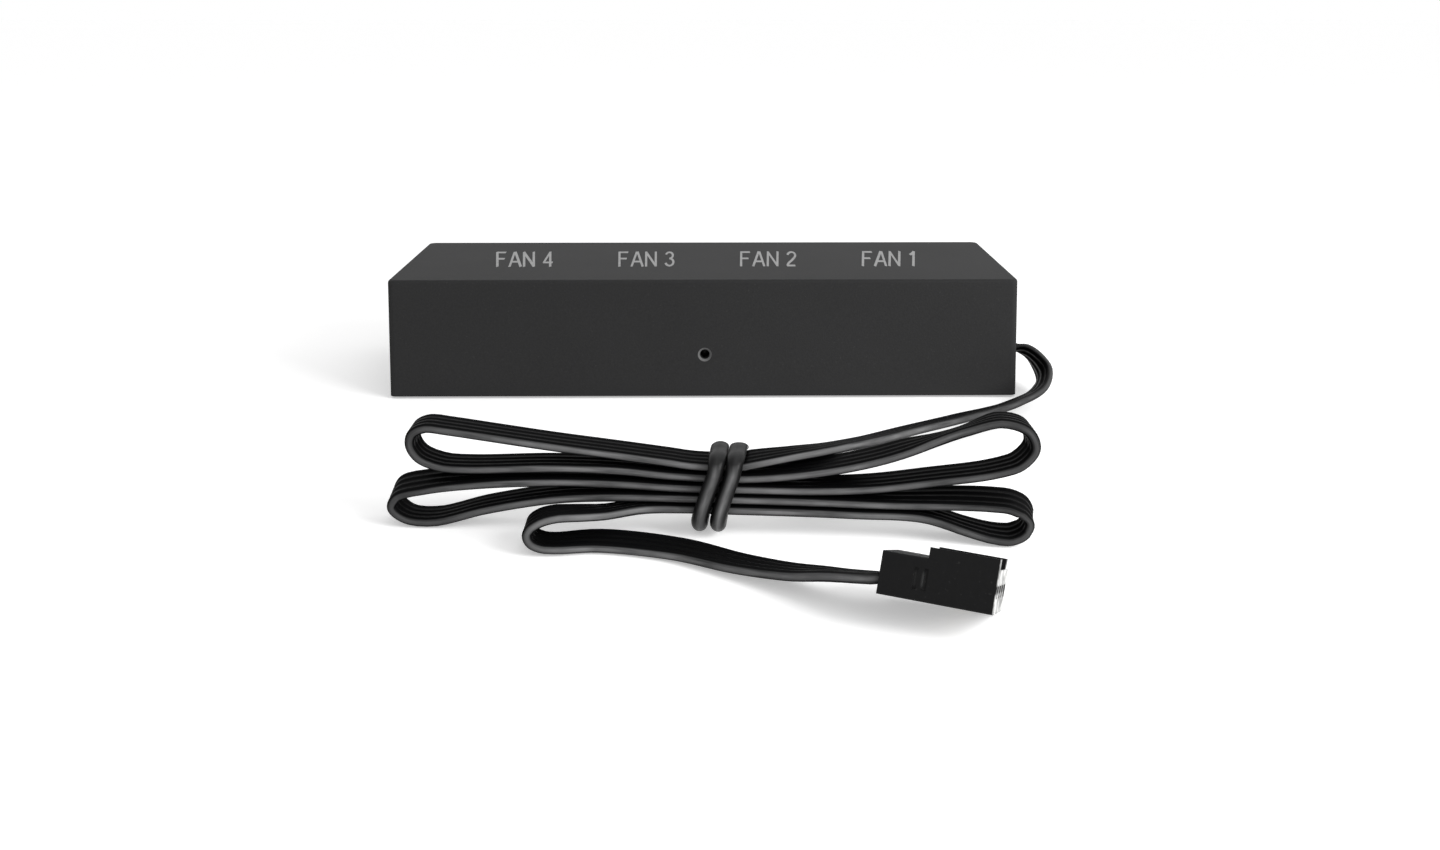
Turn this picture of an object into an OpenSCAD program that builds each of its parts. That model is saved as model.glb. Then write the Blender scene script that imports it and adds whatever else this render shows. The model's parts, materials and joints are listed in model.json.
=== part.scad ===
// Hub for four fans: a low moulded case with four headers along its back wall, and a flat cord
// that lies in front of it, folded into a tied hank. Sizes are in millimetres.
// X runs along the case, Y from the front wall to the header wall, Z up from the surface it rests on.
// The origin is under the middle of the case.

/* [Case] */
// Length of the case at its bottom rim
case_w = 100; // [96:1:116]
// Depth of the case at its bottom rim, front to back
case_d = 37; // [36.6:0.2:44]
// Height of the roof above the surface
case_h = 19; // [17.5:0.5:26]
// Height of the rim above the surface, which the pad takes up
rim_z = 0.4; // [0.2:0.1:0.6]
// Lean of the four walls for release from the mould, in degrees
draft = 2; // [1:0.25:2.5]
// Thickness of the cover's walls
wall = 1.8; // [1.5:0.1:2]
// Thickness of the cover's roof
roof = 1.8; // [1.4:0.1:2.4]
// Radius of the upright edges
corner_r = 0.9; // [0.6:0.1:1.4]
// Radius of the edge round the roof
edge_r = 0.45; // [0.3:0.05:0.8]

/* [Base plate] */
// Thickness of the base plate
base_t = 2.4; // [2.2:0.1:3]
// Width of the step in the walls that the plate sits up against
step_w = 0.9; // [0.6:0.1:1.1]
// Gap between the base plate and the walls
base_fit = 0.15; // [0.1:0.05:0.3]
// Thickness of the locating rib round the plate
rib_t = 1; // [0.8:0.1:1.4]
// Height of the locating rib
rib_h = 1; // [0.6:0.1:1.1]

/* [Mounting pad] */
// Length of the foam pad
pad_w = 64; // [40:1:70]
// Depth of the foam pad
pad_d = 22; // [12:1:24]
// Thickness of the foam pad
pad_t = 1; // [0.8:0.1:1.4]
// Gap round the pad in its recess
pad_fit = 0.2; // [0.1:0.05:0.4]

/* [Case screws] */
// Radius of the bosses inside the cover
boss_r = 2.3; // [2.1:0.1:2.4]
// How far each boss runs into the two walls beside it
boss_bite = 0.3; // [0.2:0.05:0.5]
// Radius of a case screw's shank
case_shank_r = 1.05; // [0.9:0.05:1.2]
// Radius of a case screw's head
case_head_r = 1.9; // [1.7:0.1:2.1]
// Height of a case screw's head
case_head_h = 1.2; // [0.9:0.1:1.2]
// Length of a case screw's shank
case_shank_l = 7.5; // [6:0.5:10]
// Gap round screws in their holes
screw_fit = 0.05; // [0.03:0.01:0.1]

/* [Board] */
// Distance from each end of the board to the end of the case
board_end_gap = 9; // [8:0.25:9.5]
// Gap between the board's long edges and the cover's walls
board_gap = 1.2; // [0.95:0.05:1.7]
// Thickness of the circuit board
board_t = 1.6; // [1.2:0.1:1.7]
// Height of the posts that carry the board
post_h = 1.2; // [1.1:0.1:1.3]
// Radius of the posts that carry the board
post_r = 2.1; // [1.8:0.1:2.2]
// Radius of a board screw's shank
board_shank_r = 0.95; // [0.8:0.05:1]
// Radius of a board screw's head
board_head_r = 1.8; // [1.5:0.1:1.8]
// Height of a board screw's head
board_head_h = 1.1; // [0.9:0.1:1.3]
// Depth of a board screw's shank below the board
board_shank_l = 2.6; // [2:0.1:2.8]

/* [Fan headers] */
// Distance from each end of the row of headers to the end of the case
header_end_gap = 18.95; // [18.2:0.05:23]
// Place of the middle of the row of headers
header_mid = 0.4; // [-0.6:0.1:0.6]
// Distance from pin to pin
pin_pitch = 2.54; // [2.5:0.01:2.54]
// Side of a square pin
pin_side = 0.64; // [0.6:0.02:0.66]
// Height of the pins above the board
pin_rise = 2.8; // [2.7:0.1:3.2]
// Length of pin in front of the header's block
pin_reach = 7.5; // [7:0.1:8]
// Depth of the pins' tips behind the outside of the case
pin_recess = 3.3; // [3.1:0.1:3.6]
// Distance from the back of the block to the pins' bend
pin_bend = 1.4; // [1.2:0.1:1.8]
// Length of the pins' tails below the board
pin_tail = 0.9; // [0.6:0.1:1]
// Gap round a pin in the header's block
pin_fit = 0.03; // [0.02:0.01:0.05]
// Depth of a header's block, along its pins
block_t = 3.2; // [2.8:0.1:3.4]
// Gap between the fan's plug and the header's lock
lock_fit = 0.25; // [0.2:0.05:0.4]
// Thickness of the header's lock
lock_t = 0.9; // [0.8:0.1:1]
// Gap round the fan's plug in its port
port_fit = 0.6; // [0.4:0.1:0.8]

/* [Status light] */
// Place of the light along the front wall
light_x = 0.2; // [-6:0.1:6]
// Height of the light above the board
light_rise = 1.5; // [1.4:0.1:2]
// Radius of the peep hole in the front wall
peep_r = 0.75; // [0.5:0.05:1]
// Width of the chamfer round the peep hole
peep_chamfer = 0.35; // [0.2:0.05:0.5]
// Radius of the light's lens
lens_r = 0.9; // [0.7:0.05:1]

/* [Flat cord] */
// Width of the flat cord
cord_w = 5; // [4.6:0.1:5.2]
// Thickness of the flat cord
cord_t = 1.2; // [1:0.05:1.3]
// Distance from the front of the case to the middle of the cord
exit_inset = 9.5; // [9:0.1:9.8]
// Gap round the cord in the wall and the clamp
cord_fit = 0.1; // [0.05:0.05:0.2]
// Distance from the end of the case to the middle of the clamp
clamp_inset = 11.5; // [11:0.1:12]
// Length of the clamp along the cord
clamp_l = 7; // [5:0.5:8]
// Thickness of the clamp bar
clamp_t = 2; // [1.6:0.1:3]
// Distance from the cord's middle to each clamp screw
clamp_reach = 4.9; // [4.8:0.1:5]
// Radius of the posts under the clamp screws
clamp_post_r = 1.9; // [1.7:0.1:2]
// Radius of a bare wire at the board
wire_r = 0.3; // [0.2:0.05:0.35]

/* [Cord tie] */
// Radius of the soft tie round the hank
tie_r = 0.85; // [0.6:0.05:0.9]
// Gap between the tie and the hank
tie_fit = 0.1; // [0.05:0.05:0.3]

/* [Plug] */
// Length of the plug's body, along its contacts
plug_l = 11.6; // [11.2:0.1:12.7]
// Width of the plug's body
plug_w = 10.2; // [10.1:0.05:10.3]
// Thickness of the plug's body
plug_t = 4.4; // [4.2:0.1:4.6]
// Height of the guide ribs on the plug
guide_h = 1.1; // [1:0.1:1.3]
// Length of the guide ribs on the plug
guide_l = 7; // [6:0.1:9]
// Radius of the small edges of the plug
plug_edge = 0.25; // [0.1:0.05:0.4]
// Gap round a contact in its chamber
contact_fit = 0.1; // [0.05:0.05:0.15]

/* [Hidden] */
$fn = 40;

lean = tan(draft);
cut = 1;
pins = 4;
sides = [-1, 1];

base_z = rim_z + base_t;
board_z = base_z + post_h;
board_top = board_z + board_t;
pin_z = board_top + pin_rise;

pad_sink = pad_t - rim_z;
plate_w = case_w - 2 * (wall - step_w + base_fit);
plate_d = case_d - 2 * (wall - step_w + base_fit);
boss_x = case_w / 2 - wall - boss_r + boss_bite;
boss_y = case_d / 2 - wall - boss_r + boss_bite;
head_seat = case_head_h + 0.15;
pilot_top = rim_z + head_seat + case_shank_l + 0.3;

// The port is the fan plug's outline with its guide ribs, and a gap all round
lock_z = pin_z + plug_t / 2 + lock_fit;
block_h = lock_z + lock_t - board_top;
port_w = plug_w + 2 * port_fit;
port_low = max(pin_z - plug_t / 2 - port_fit, base_z + 1);
port_high = pin_z + plug_t / 2 + guide_h + port_fit;
outside_y = case_d / 2 - (pin_z - rim_z) * lean;
tip_y = outside_y - pin_recess;
block_y = tip_y - pin_reach;
tail_y = block_y - block_t - pin_bend;
lock_w = 6.3;
lock_l = pin_reach - 0.2;
lock_ramp = 0.5;
divider_t = 1.2;
divider_l = 4.5;

board_w = case_w - 2 * board_end_gap;
board_d = case_d - 2 * (wall + board_gap);
header_pitch = (case_w - 2 * header_end_gap) / 3;

// Where the flat cord leaves the case, and the clamp that holds it there
cord_exit = [case_w / 2 - 0.2, exit_inset - case_d / 2, 6];
clamp_x = case_w / 2 - clamp_inset;
lead_y = cord_exit[1];
lead_z = cord_exit[2];
cord_low = lead_z - cord_t / 2;
clamp_z = cord_low + cord_t - 0.2;

// The board has a notch at its front right corner for the clamp
notch_gap = 1.2;
notch_x = clamp_x - clamp_l / 2 - notch_gap - 0.3;
notch_y = lead_y + clamp_reach + clamp_post_r + notch_gap;
pad_hole_x = notch_x - 2;
lead_split_x = notch_x + 0.4;
post_front = board_d / 2 - 3;
post_back = board_d / 2 - 3;
post_side = board_w / 2 - 2.2;
post_spots = [[-post_side, -post_front], [-post_side, post_back], [notch_x - 5.5, -post_front],
    [post_side, post_back]];

light_z = board_top + light_rise;
light_wall_y = -case_d / 2 + (light_z - rim_z) * lean;
lens_l = 1.6;

// The hank stands in an upright plane that is turned a little from the case's front wall
hank_y = -76;
hank_turn = -4.57;

// Where the flat cord lies: each row is x, y, z and the roll of its width about its run, in degrees
exit_rows = [[0, 0, 0, 0], [1.6, -0.3, -0.1, -6], [3.2, -1.9, -0.6, -16]];
run_rows = [[54, -14.2, 4.6, -20], [54, -18.5, 3.6, -19], [51.8, -24, 2.6, -17], [46.5, -30.5, 2.3, -17],
    [36.5, -43, 3.9, -15], [27.5, -55, 5.8, -15], [20.5, -66, 7.8, -15], [15.5, -72.2, 8.95, -14],
    [11, -75.6, 9.4, -8], [6, -76.5, 8.95, 0]];
run_route = joined([[for (row = exit_rows) row + [cord_exit[0], cord_exit[1], cord_exit[2], 0]], run_rows]);
tail_route = [[-2.6, -75.8, 3.22, 0], [-9, -75.3, 3.12, 0], [-14, -75.9, 2.95, 0], [-17, -77.6, 2.95, 0],
    [-18.8, -79.8, 2.65, 0], [-19.5, -81.6, 1.95, 0], [-19, -82.5, 1.2, 2], [-17.4, -82.6, 0.84, 3],
    [-12, -81.9, 0.84, 3], [-3, -84.4, 0.8, 0], [4, -89.3, 1, -6], [9.4, -93.6, 1.8, -12], [14, -97.6, 3.1, -18]];
// Middle heights of the five layers of cord under the tie, from the top one down
layer_z = [8.95, 7.2, 5.82, 4.52, 3.22];
// How far the tie presses the top layer down, and where it does so along the hank
pinch = 0.35;
pinch_left = -1;
pinch_right = 5;
waist_left = -2.6;
waist_right = 6;

conductors = 4;
conductor_pitch = (cord_w - cord_t) / (conductors - 1);

// The plug leans on the floor on one far corner of its mouth, held up by the cord
plug_roll = -21;
plug_pitch = 3.5;
plug_yaw = -19;
plug_x = 24.6;
plug_y = -102;
plug_z = plug_l / 2 * sin(plug_pitch)
    + cos(plug_pitch) * (plug_w / 2 * sin(-plug_roll) + plug_t / 2 * cos(plug_roll)) + 0.02;
plug_dir = [cos(plug_pitch) * cos(plug_yaw), cos(plug_pitch) * sin(plug_yaw), -sin(plug_pitch)];
entry_drop = 0.8;
plug_up = [sin(plug_pitch) * cos(plug_roll) * cos(plug_yaw) + sin(plug_roll) * sin(plug_yaw),
    sin(plug_pitch) * cos(plug_roll) * sin(plug_yaw) - sin(plug_roll) * cos(plug_yaw),
    cos(plug_pitch) * cos(plug_roll)];
plug_entry = [plug_x, plug_y, plug_z] - plug_l / 2 * plug_dir - entry_drop * plug_up;
chamber_w = 2;
chamber_h = 2.9;
mouth_side = 1.3;
mouth_t = 1;
contact_l = 5.5;
contact_hole = 1;
guide_t = 0.65;
inner_guide_y = 2.1;
fan_out = pin_pitch * (pins - 1) + 1.1;
guide_y = -plug_w / 2;

can_x = 10 - board_w / 2;
can_y = 7.5 - board_d / 2;
chip_x = 12;
chip_y = 7.5 - board_d / 2;
resistor_spots = [[-18, 5.5], [-14, 5.5], [-10, 5.5], [-18, 9], [-14, 9], [22, 7.5]];

// Turns a list into one whose rows run on from each other
function joined(lists) = [for (list = lists) each list];
function unit(v) = v / norm(v);
function spot(row) = [row[0], row[1], row[2]];
function between(a, b, start, end, t) = (a * (end - t) + b * (t - start)) / (end - start);
function gap(a, b) = sqrt(norm(spot(b) - spot(a)));

// A point at share t of the way from row b to row c, on the smooth curve through all the rows
function curve(a, b, c, d, t) = let (
    k1 = gap(a, b), k2 = k1 + gap(b, c), k3 = k2 + gap(c, d), k = between(k1, k2, 0, 1, t),
    p = between(a, b, 0, k1, k), q = between(b, c, k1, k2, k), r = between(c, d, k2, k3, k)
) between(between(p, q, 0, k2, k), between(q, r, k1, k3, k), k1, k2, k);

// The rows of a route with more rows between them, steps for each stretch
function smooth_route(rows, steps) = let (
    last = len(rows) - 1,
    all = joined([[2 * rows[0] - rows[1]], rows, [2 * rows[last] - rows[last - 1]]])
) [for (i = [0 : last - 1]) for (j = [0 : steps - 1])
    curve(all[i], all[i + 1], all[i + 2], all[i + 3], j / steps), rows[last]];

// The direction of the route at each of its rows, with the first and last ones given
function headings(rows, first, last) = [for (i = [0 : len(rows) - 1])
    i == 0 ? first : i == len(rows) - 1 ? last : unit(spot(rows[i + 1]) - spot(rows[i - 1]))];

// One ring of a swept cord: an outline set square to the heading, with its width along the side vector
function ring(row, heading, reference, outline) = let (
    side = unit(reference - (reference * heading) * heading),
    up = cross(heading, side)
) [for (p = outline) spot(row) + p[0] * side + p[1] * up];

function width_line(row) = [0, cos(row[3]), sin(row[3])];
function flat_outline(w, t) = [[w / 2, t / 4], [w / 2 - t / 4, t / 2], [t / 4 - w / 2, t / 2], [-w / 2, t / 4],
    [-w / 2, -t / 4], [t / 4 - w / 2, -t / 2], [w / 2 - t / 4, -t / 2], [w / 2, -t / 4]];
function round_outline(r) = [for (a = [22.5 : 45 : 359]) [r * cos(a), r * sin(a)]];
function arc(x, z, r, from, to) = [for (i = [0 : 6]) [x + r * cos(from + (to - from) * i / 6),
    z + r * sin(from + (to - from) * i / 6)]];
function header_x(n) = header_mid + (2.5 - n) * header_pitch;
function pin_x(i) = (i - (pins - 1) / 2) * pin_pitch;

// A closed skin through a list of rings that all have the same number of points
module swept(rings) {
    count = len(rings);
    n = len(rings[0]);
    walls = [for (i = [0 : count - 2]) for (j = [0 : n - 1]) for (half = [0, 1]) let (
        a = i * n + j, b = i * n + (j + 1) % n
    ) half == 0 ? [a, b, b + n] : [a, b + n, a + n]];
    ends = [[for (j = [n - 1 : -1 : 0]) j], [for (j = [0 : n - 1]) (count - 1) * n + j]];
    polyhedron(points = joined(rings), faces = joined([walls, ends]), convexity = 8);
}

// A rectangle with round corners, standing on z = 0
module rounded_plate(w, d, h, r) {
    linear_extrude(h) {
        square([w - 2 * r, d], center = true);
        square([w, d - 2 * r], center = true);
        for (x = sides, y = sides) translate([x * (w / 2 - r), y * (d / 2 - r)]) circle(r);
    }
}

// The outline of a rectangle with round corners at height z, clockwise from above
function rounded_ring(w, d, r, z) = [for (corner = [[1, 1, 90], [1, -1, 0], [-1, -1, -90], [-1, 1, -180]])
    for (k = [0 : 4]) [corner[0] * (w / 2 - r) + r * cos(corner[2] - k * 22.5),
        corner[1] * (d / 2 - r) + r * sin(corner[2] - k * 22.5), z]];

// A block whose four walls lean in and whose top edge is round, from height low up to high
module leaning_block(w, d, low, high, r, edge) {
    levels = joined([[[low, (low - rim_z) * lean]], [for (a = [0 : 30 : 90])
        [high - edge + edge * sin(a), (high - edge - rim_z) * lean + edge * (1 - cos(a))]]]);
    swept([for (level = levels) rounded_ring(w - 2 * level[1], d - 2 * level[1], r, level[0])]);
}

module at_bosses() {
    for (x = sides, y = sides) translate([x * boss_x, y * boss_y, 0]) children();
}

module top_cover() {
    color([0.16, 0.16, 0.17]) difference() {
        union() {
            difference() {
                leaning_block(case_w, case_d, rim_z, case_h, corner_r, edge_r);
                leaning_block(case_w - 2 * wall, case_d - 2 * wall, rim_z - cut, case_h - roof, corner_r / 2, edge_r);
            }
            intersection() {
                leaning_block(case_w - wall, case_d - wall, rim_z, case_h - roof / 2, corner_r, edge_r);
                union() {
                    at_bosses() translate([0, 0, base_z]) cylinder(r = boss_r, h = case_h - base_z);
                    dividers();
                }
            }
        }
        base_recess();
        for (n = [1 : 4]) translate([header_x(n), 0, 0]) port_cut();
        peep_cut();
        cord_slot_cut();
        at_bosses() translate([0, 0, base_z - cut])
            cylinder(r = case_shank_r + screw_fit, h = pilot_top - base_z + cut);
    }
}

// Short ribs inside the back wall, one between each pair of ports
module dividers() {
    for (n = [1 : 3]) translate([(header_x(n) + header_x(n + 1) - divider_t) / 2, case_d / 2 - wall - divider_l,
        board_top + 0.2]) cube([divider_t, divider_l + wall, case_h - board_top]);
}

// The step round the inside of the rim that the base plate sits in
module base_recess() {
    translate([0, 0, rim_z - cut]) rounded_plate(plate_w + 2 * base_fit, plate_d + 2 * base_fit,
        base_t + cut, corner_r / 2 + base_fit);
}

module port_cut() {
    translate([-port_w / 2, case_d / 2 - 2 * wall, port_low]) cube([port_w, 3 * wall, port_high - port_low]);
}

module peep_cut() {
    translate([light_x, light_wall_y, light_z]) rotate([90, 0, 0]) {
        translate([0, 0, -2 * wall]) cylinder(r = peep_r, h = 3 * wall);
        translate([0, 0, -peep_chamfer]) cylinder(r1 = peep_r, r2 = peep_r + 2 * peep_chamfer, h = 2 * peep_chamfer);
    }
}

module cord_slot_cut() {
    translate([case_w / 2 - 2 * wall, lead_y - cord_w / 2 - cord_fit, lead_z - cord_t / 2 - cord_fit])
        cube([3 * wall, cord_w + 2 * cord_fit, cord_t + 2 * cord_fit]);
}

module base_plate() {
    color([0.14, 0.14, 0.15]) difference() {
        union() {
            translate([0, 0, rim_z]) rounded_plate(plate_w, plate_d, base_t, corner_r / 2);
            locating_rib();
            for (p = post_spots) translate([p[0], p[1], base_z - cut]) cylinder(r = post_r, h = post_h + cut);
            clamp_seat();
        }
        translate([0, 0, rim_z - cut]) rounded_plate(pad_w + 2 * pad_fit, pad_d + 2 * pad_fit, pad_sink + cut, 2);
        at_bosses() translate([0, 0, rim_z - cut]) {
            cylinder(r = case_head_r + 4 * screw_fit, h = head_seat + cut);
            cylinder(r = case_shank_r + 2 * screw_fit, h = base_t + 2 * cut);
        }
        for (p = post_spots) translate([p[0], p[1], board_z - board_shank_l - 0.2])
            cylinder(r = board_shank_r + screw_fit, h = board_shank_l + cut);
        for (y = sides) translate([clamp_x, lead_y + y * clamp_reach, clamp_z - 4.2])
            cylinder(r = board_shank_r + screw_fit, h = 4.2 + cut);
    }
}

// A low rib inside the cover's walls, open round the four bosses
module locating_rib() {
    rib_w = case_w - 2 * wall - 2 * base_fit - 2 * base_t * lean - 2 * rib_h * lean;
    rib_d = case_d - 2 * wall - 2 * base_fit - 2 * base_t * lean - 2 * rib_h * lean;
    difference() {
        translate([0, 0, base_z - cut]) rounded_plate(rib_w, rib_d, rib_h + cut, corner_r / 2);
        translate([0, 0, base_z - 2 * cut])
            rounded_plate(rib_w - 2 * rib_t, rib_d - 2 * rib_t, rib_h + 3 * cut, corner_r / 2);
        at_bosses() translate([0, 0, base_z]) cylinder(r = boss_r + base_fit, h = rib_h + cut);
    }
}

// The seat under the cord, with a post for each clamp screw
module clamp_seat() {
    translate([clamp_x - clamp_l / 2, lead_y - cord_w / 2, base_z - cut])
        cube([clamp_l, cord_w, cord_low - cord_fit / 2 - base_z + cut]);
    for (y = sides) translate([clamp_x, lead_y + y * clamp_reach, base_z - cut])
        cylinder(r = clamp_post_r, h = clamp_z - base_z + cut);
}

module circuit_board() {
    color([0.05, 0.26, 0.15]) difference() {
        translate([0, 0, board_z]) linear_extrude(board_t) difference() {
            square([board_w, board_d], center = true);
            translate([notch_x, -board_d / 2 - cut]) square([board_w, board_d / 2 + notch_y + cut]);
        }
        for (n = [1 : 4], i = [0 : pins - 1]) translate([header_x(n) + pin_x(i), tail_y, board_z - cut])
            cylinder(r = pin_side * 0.72 + pin_fit, h = board_t + 2 * cut);
        for (p = post_spots) translate([p[0], p[1], board_z - cut])
            cylinder(r = board_shank_r + 2 * screw_fit, h = board_t + 2 * cut);
        for (i = [0 : conductors - 1]) translate([pad_hole_x, conductor_y(i), board_z - cut])
            cylinder(r = wire_r + 0.1, h = board_t + 2 * cut);
        for (x = sides) translate([light_x + x * 0.6, light_block_y + 0.8, board_z - cut])
            cylinder(r = 0.35, h = board_t + 2 * cut);
    }
}

// A right-angle header: its block, and the lock that a fan's plug clips under
module fan_header(n) {
    color([0.1, 0.1, 0.11]) translate([header_x(n), 0, 0]) difference() {
        union() {
            translate([-pin_pitch * pins / 2, block_y - block_t, board_top])
                cube([pin_pitch * pins, block_t, block_h]);
            translate([-pin_pitch / 2 - lock_w / 2, 0, 0]) rotate([90, 0, 90]) linear_extrude(lock_w)
                polygon([[block_y - cut, lock_z], [block_y + lock_l - 2.2, lock_z],
                    [block_y + lock_l - 1.4, lock_z - lock_ramp], [block_y + lock_l - 1, lock_z - lock_ramp],
                    [block_y + lock_l, lock_z + lock_t / 2], [block_y + lock_l, lock_z + lock_t],
                    [block_y - cut, lock_z + lock_t]]);
        }
        for (i = [0 : pins - 1]) translate([pin_x(i) - pin_side / 2 - pin_fit, block_y - block_t - cut,
            pin_z - pin_side / 2 - pin_fit])
            cube([pin_side + 2 * pin_fit, block_t + 2 * cut, pin_side + 2 * pin_fit]);
        translate([-pin_pitch, block_y - block_t / 2, board_top - cut]) cube([2 * pin_pitch, block_t, cut + 0.4]);
    }
}

// Four square pins, each bent down behind the block and through the board
module header_pins(n) {
    half = pin_side / 2;
    taper = 0.2;
    low = board_z - pin_tail;
    color([0.78, 0.68, 0.42]) for (i = [0 : pins - 1]) translate([header_x(n) + pin_x(i) - half, 0, 0])
        rotate([90, 0, 90]) linear_extrude(pin_side)
            polygon([[tail_y - half + taper, low], [tail_y + half - taper, low], [tail_y + half, low + taper],
                [tail_y + half, pin_z - half], [tip_y - 2 * taper, pin_z - half], [tip_y, pin_z - taper / 2],
                [tip_y, pin_z + taper / 2], [tip_y - 2 * taper, pin_z + half], [tail_y, pin_z + half],
                [tail_y - half, pin_z], [tail_y - half, low + taper]]);
}

light_block_y = light_wall_y + wall + lens_l - 0.1;

// A small lamp with its lens behind the peep hole and two legs in the board
module status_light() {
    color([0.85, 0.9, 0.85]) union() {
        translate([light_x - 1.3, light_block_y, board_top]) cube([2.6, 1.6, light_rise + lens_r + 0.3]);
        translate([light_x, light_block_y + 0.1, light_z]) rotate([90, 0, 0]) {
            cylinder(r = lens_r, h = lens_l - 0.9);
            translate([0, 0, lens_l - 1]) intersection() {
                sphere(r = lens_r);
                cylinder(r = lens_r, h = lens_r);
            }
        }
        for (x = sides) translate([light_x + x * 0.6, light_block_y + 0.8, board_z - 0.6])
            cylinder(r = 0.25, h = board_t + 0.6);
    }
}

// The chip that splits the speed signal: a flat package with seven legs a side
module controller_chip() {
    chip_w = 8.7;
    chip_d = 3.9;
    chip_t = 1.4;
    leg_pitch = 1.27;
    color([0.08, 0.08, 0.09]) translate([chip_x, chip_y, board_top]) {
        translate([-chip_w / 2, -chip_d / 2, 0.15]) cube([chip_w, chip_d, chip_t]);
        for (i = [-3 : 3], side = sides) translate([i * leg_pitch, 0, 0]) rotate([0, 0, side * 90])
            rotate([90, 0, 0]) translate([0, 0, -0.2]) linear_extrude(0.4)
                polygon([[chip_d / 2 - 0.2, 0.7], [chip_d / 2 - 0.2, 0.9], [chip_d / 2 + 0.4, 0.9],
                    [chip_d / 2 + 0.6, 0.2], [chip_d / 2 + 1.05, 0.2], [chip_d / 2 + 1.05, 0],
                    [chip_d / 2 + 0.45, 0], [chip_d / 2 + 0.25, 0.7]]);
    }
}

// An upright can with a crimped neck and a rubber foot
module filter_capacitor() {
    can_r = 3.15;
    can_h = 8;
    neck = 0.3;
    color([0.12, 0.14, 0.2]) translate([can_x, can_y, board_top]) rotate_extrude()
        polygon([[0, 0], [can_r - 0.6, 0], [can_r, 0.5], [can_r, 1.2], [can_r - neck, 1.6], [can_r - neck, 2],
            [can_r, 2.4], [can_r, can_h - 0.4], [can_r - 0.4, can_h], [can_r - 0.9, can_h - 0.15], [0, can_h - 0.15]]);
}

// Small surface parts, each a separate brick on the board
module chip_resistors() {
    color([0.1, 0.1, 0.1]) for (p = resistor_spots)
        translate([p[0] - 1, p[1] - board_d / 2 - 0.6, board_top]) cube([2, 1.25, 0.5]);
}

// A pan-head screw whose head's underside is at z = 0 and whose shank points down
module pan_screw(head_r, head_h, shank_r, shank_l) {
    cross_w = head_r * 0.28;
    difference() {
        union() {
            rotate_extrude() polygon([[0, 0], [head_r, 0], [head_r, head_h * 0.45], [head_r * 0.85, head_h * 0.8],
                [head_r * 0.55, head_h], [0, head_h]]);
            translate([0, 0, -shank_l]) cylinder(r = shank_r, h = shank_l + 0.1);
        }
        for (a = [0, 90]) rotate([0, 0, a]) translate([-head_r * 0.6, -cross_w / 2, head_h * 0.5])
            cube([head_r * 1.2, cross_w, head_h]);
    }
}

module board_screws() {
    color([0.7, 0.7, 0.72]) for (p = post_spots) translate([p[0], p[1], board_top])
        pan_screw(board_head_r, board_head_h, board_shank_r, board_t + board_shank_l);
}

module case_screws() {
    color([0.7, 0.7, 0.72]) at_bosses() translate([0, 0, rim_z + head_seat]) rotate([180, 0, 0])
        pan_screw(case_head_r, case_head_h, case_shank_r, case_shank_l);
}

// The bar that holds the cord down on its seat
module cord_clamp() {
    color([0.1, 0.1, 0.11]) difference() {
        translate([clamp_x, lead_y, clamp_z]) rounded_plate(clamp_l, 2 * (clamp_reach + clamp_post_r), clamp_t, 1.2);
        translate([clamp_x - clamp_l / 2 - cut, lead_y - cord_w / 2 - cord_fit, clamp_z - cut])
            cube([clamp_l + 2 * cut, cord_w + 2 * cord_fit, cord_low + cord_t + cord_fit / 2 - clamp_z + cut]);
        for (y = sides) translate([clamp_x, lead_y + y * clamp_reach, clamp_z - cut])
            cylinder(r = board_shank_r + 2 * screw_fit, h = clamp_t + 2 * cut);
    }
}

module clamp_screws() {
    color([0.7, 0.7, 0.72]) for (y = sides) translate([clamp_x, lead_y + y * clamp_reach, clamp_z + clamp_t])
        pan_screw(board_head_r, board_head_h, board_shank_r, clamp_t + 4);
}

function conductor_y(i) = lead_y + (i - (conductors - 1) / 2) * conductor_pitch;

// The cord inside the case: four joined wires through the slot and the clamp, bare and bent into the board
module cord_leads() {
    color([0.05, 0.05, 0.05]) union() {
        translate([lead_split_x, lead_y - conductor_pitch * 1.5, lead_z - cord_t / 5])
            cube([cord_exit[0] - lead_split_x, conductor_pitch * 3, cord_t * 0.4]);
        for (i = [0 : conductors - 1]) {
            translate([lead_split_x, conductor_y(i), lead_z]) rotate([0, 90, 0])
                cylinder(r = cord_t / 2, h = cord_exit[0] - lead_split_x);
            translate([pad_hole_x, conductor_y(i), lead_z]) rotate([0, 90, 0])
                cylinder(r = wire_r, h = lead_split_x - pad_hole_x + 0.2);
            translate([pad_hole_x, conductor_y(i), lead_z]) sphere(r = wire_r);
            translate([pad_hole_x, conductor_y(i), board_z - 0.4]) cylinder(r = wire_r, h = lead_z - board_z + 0.4);
        }
    }
}

module mounting_pad() {
    color([0.2, 0.2, 0.2]) rounded_plate(pad_w, pad_d, pad_t, 2 - pad_fit);
}

module in_hank_frame() {
    translate([0, hank_y, 0]) rotate([0, 0, hank_turn]) children();
}

hank_dir = [cos(hank_turn), sin(hank_turn), 0];

// The free cord from the wall to the hank
module cord_run() {
    rows = smooth_route(run_route, 2);
    dirs = headings(rows, [1, 0, 0], -hank_dir);
    color([0.05, 0.05, 0.05])
        swept([for (i = [0 : len(rows) - 1]) ring(rows[i], dirs[i], width_line(rows[i]), flat_outline(cord_w, cord_t))]);
}

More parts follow.
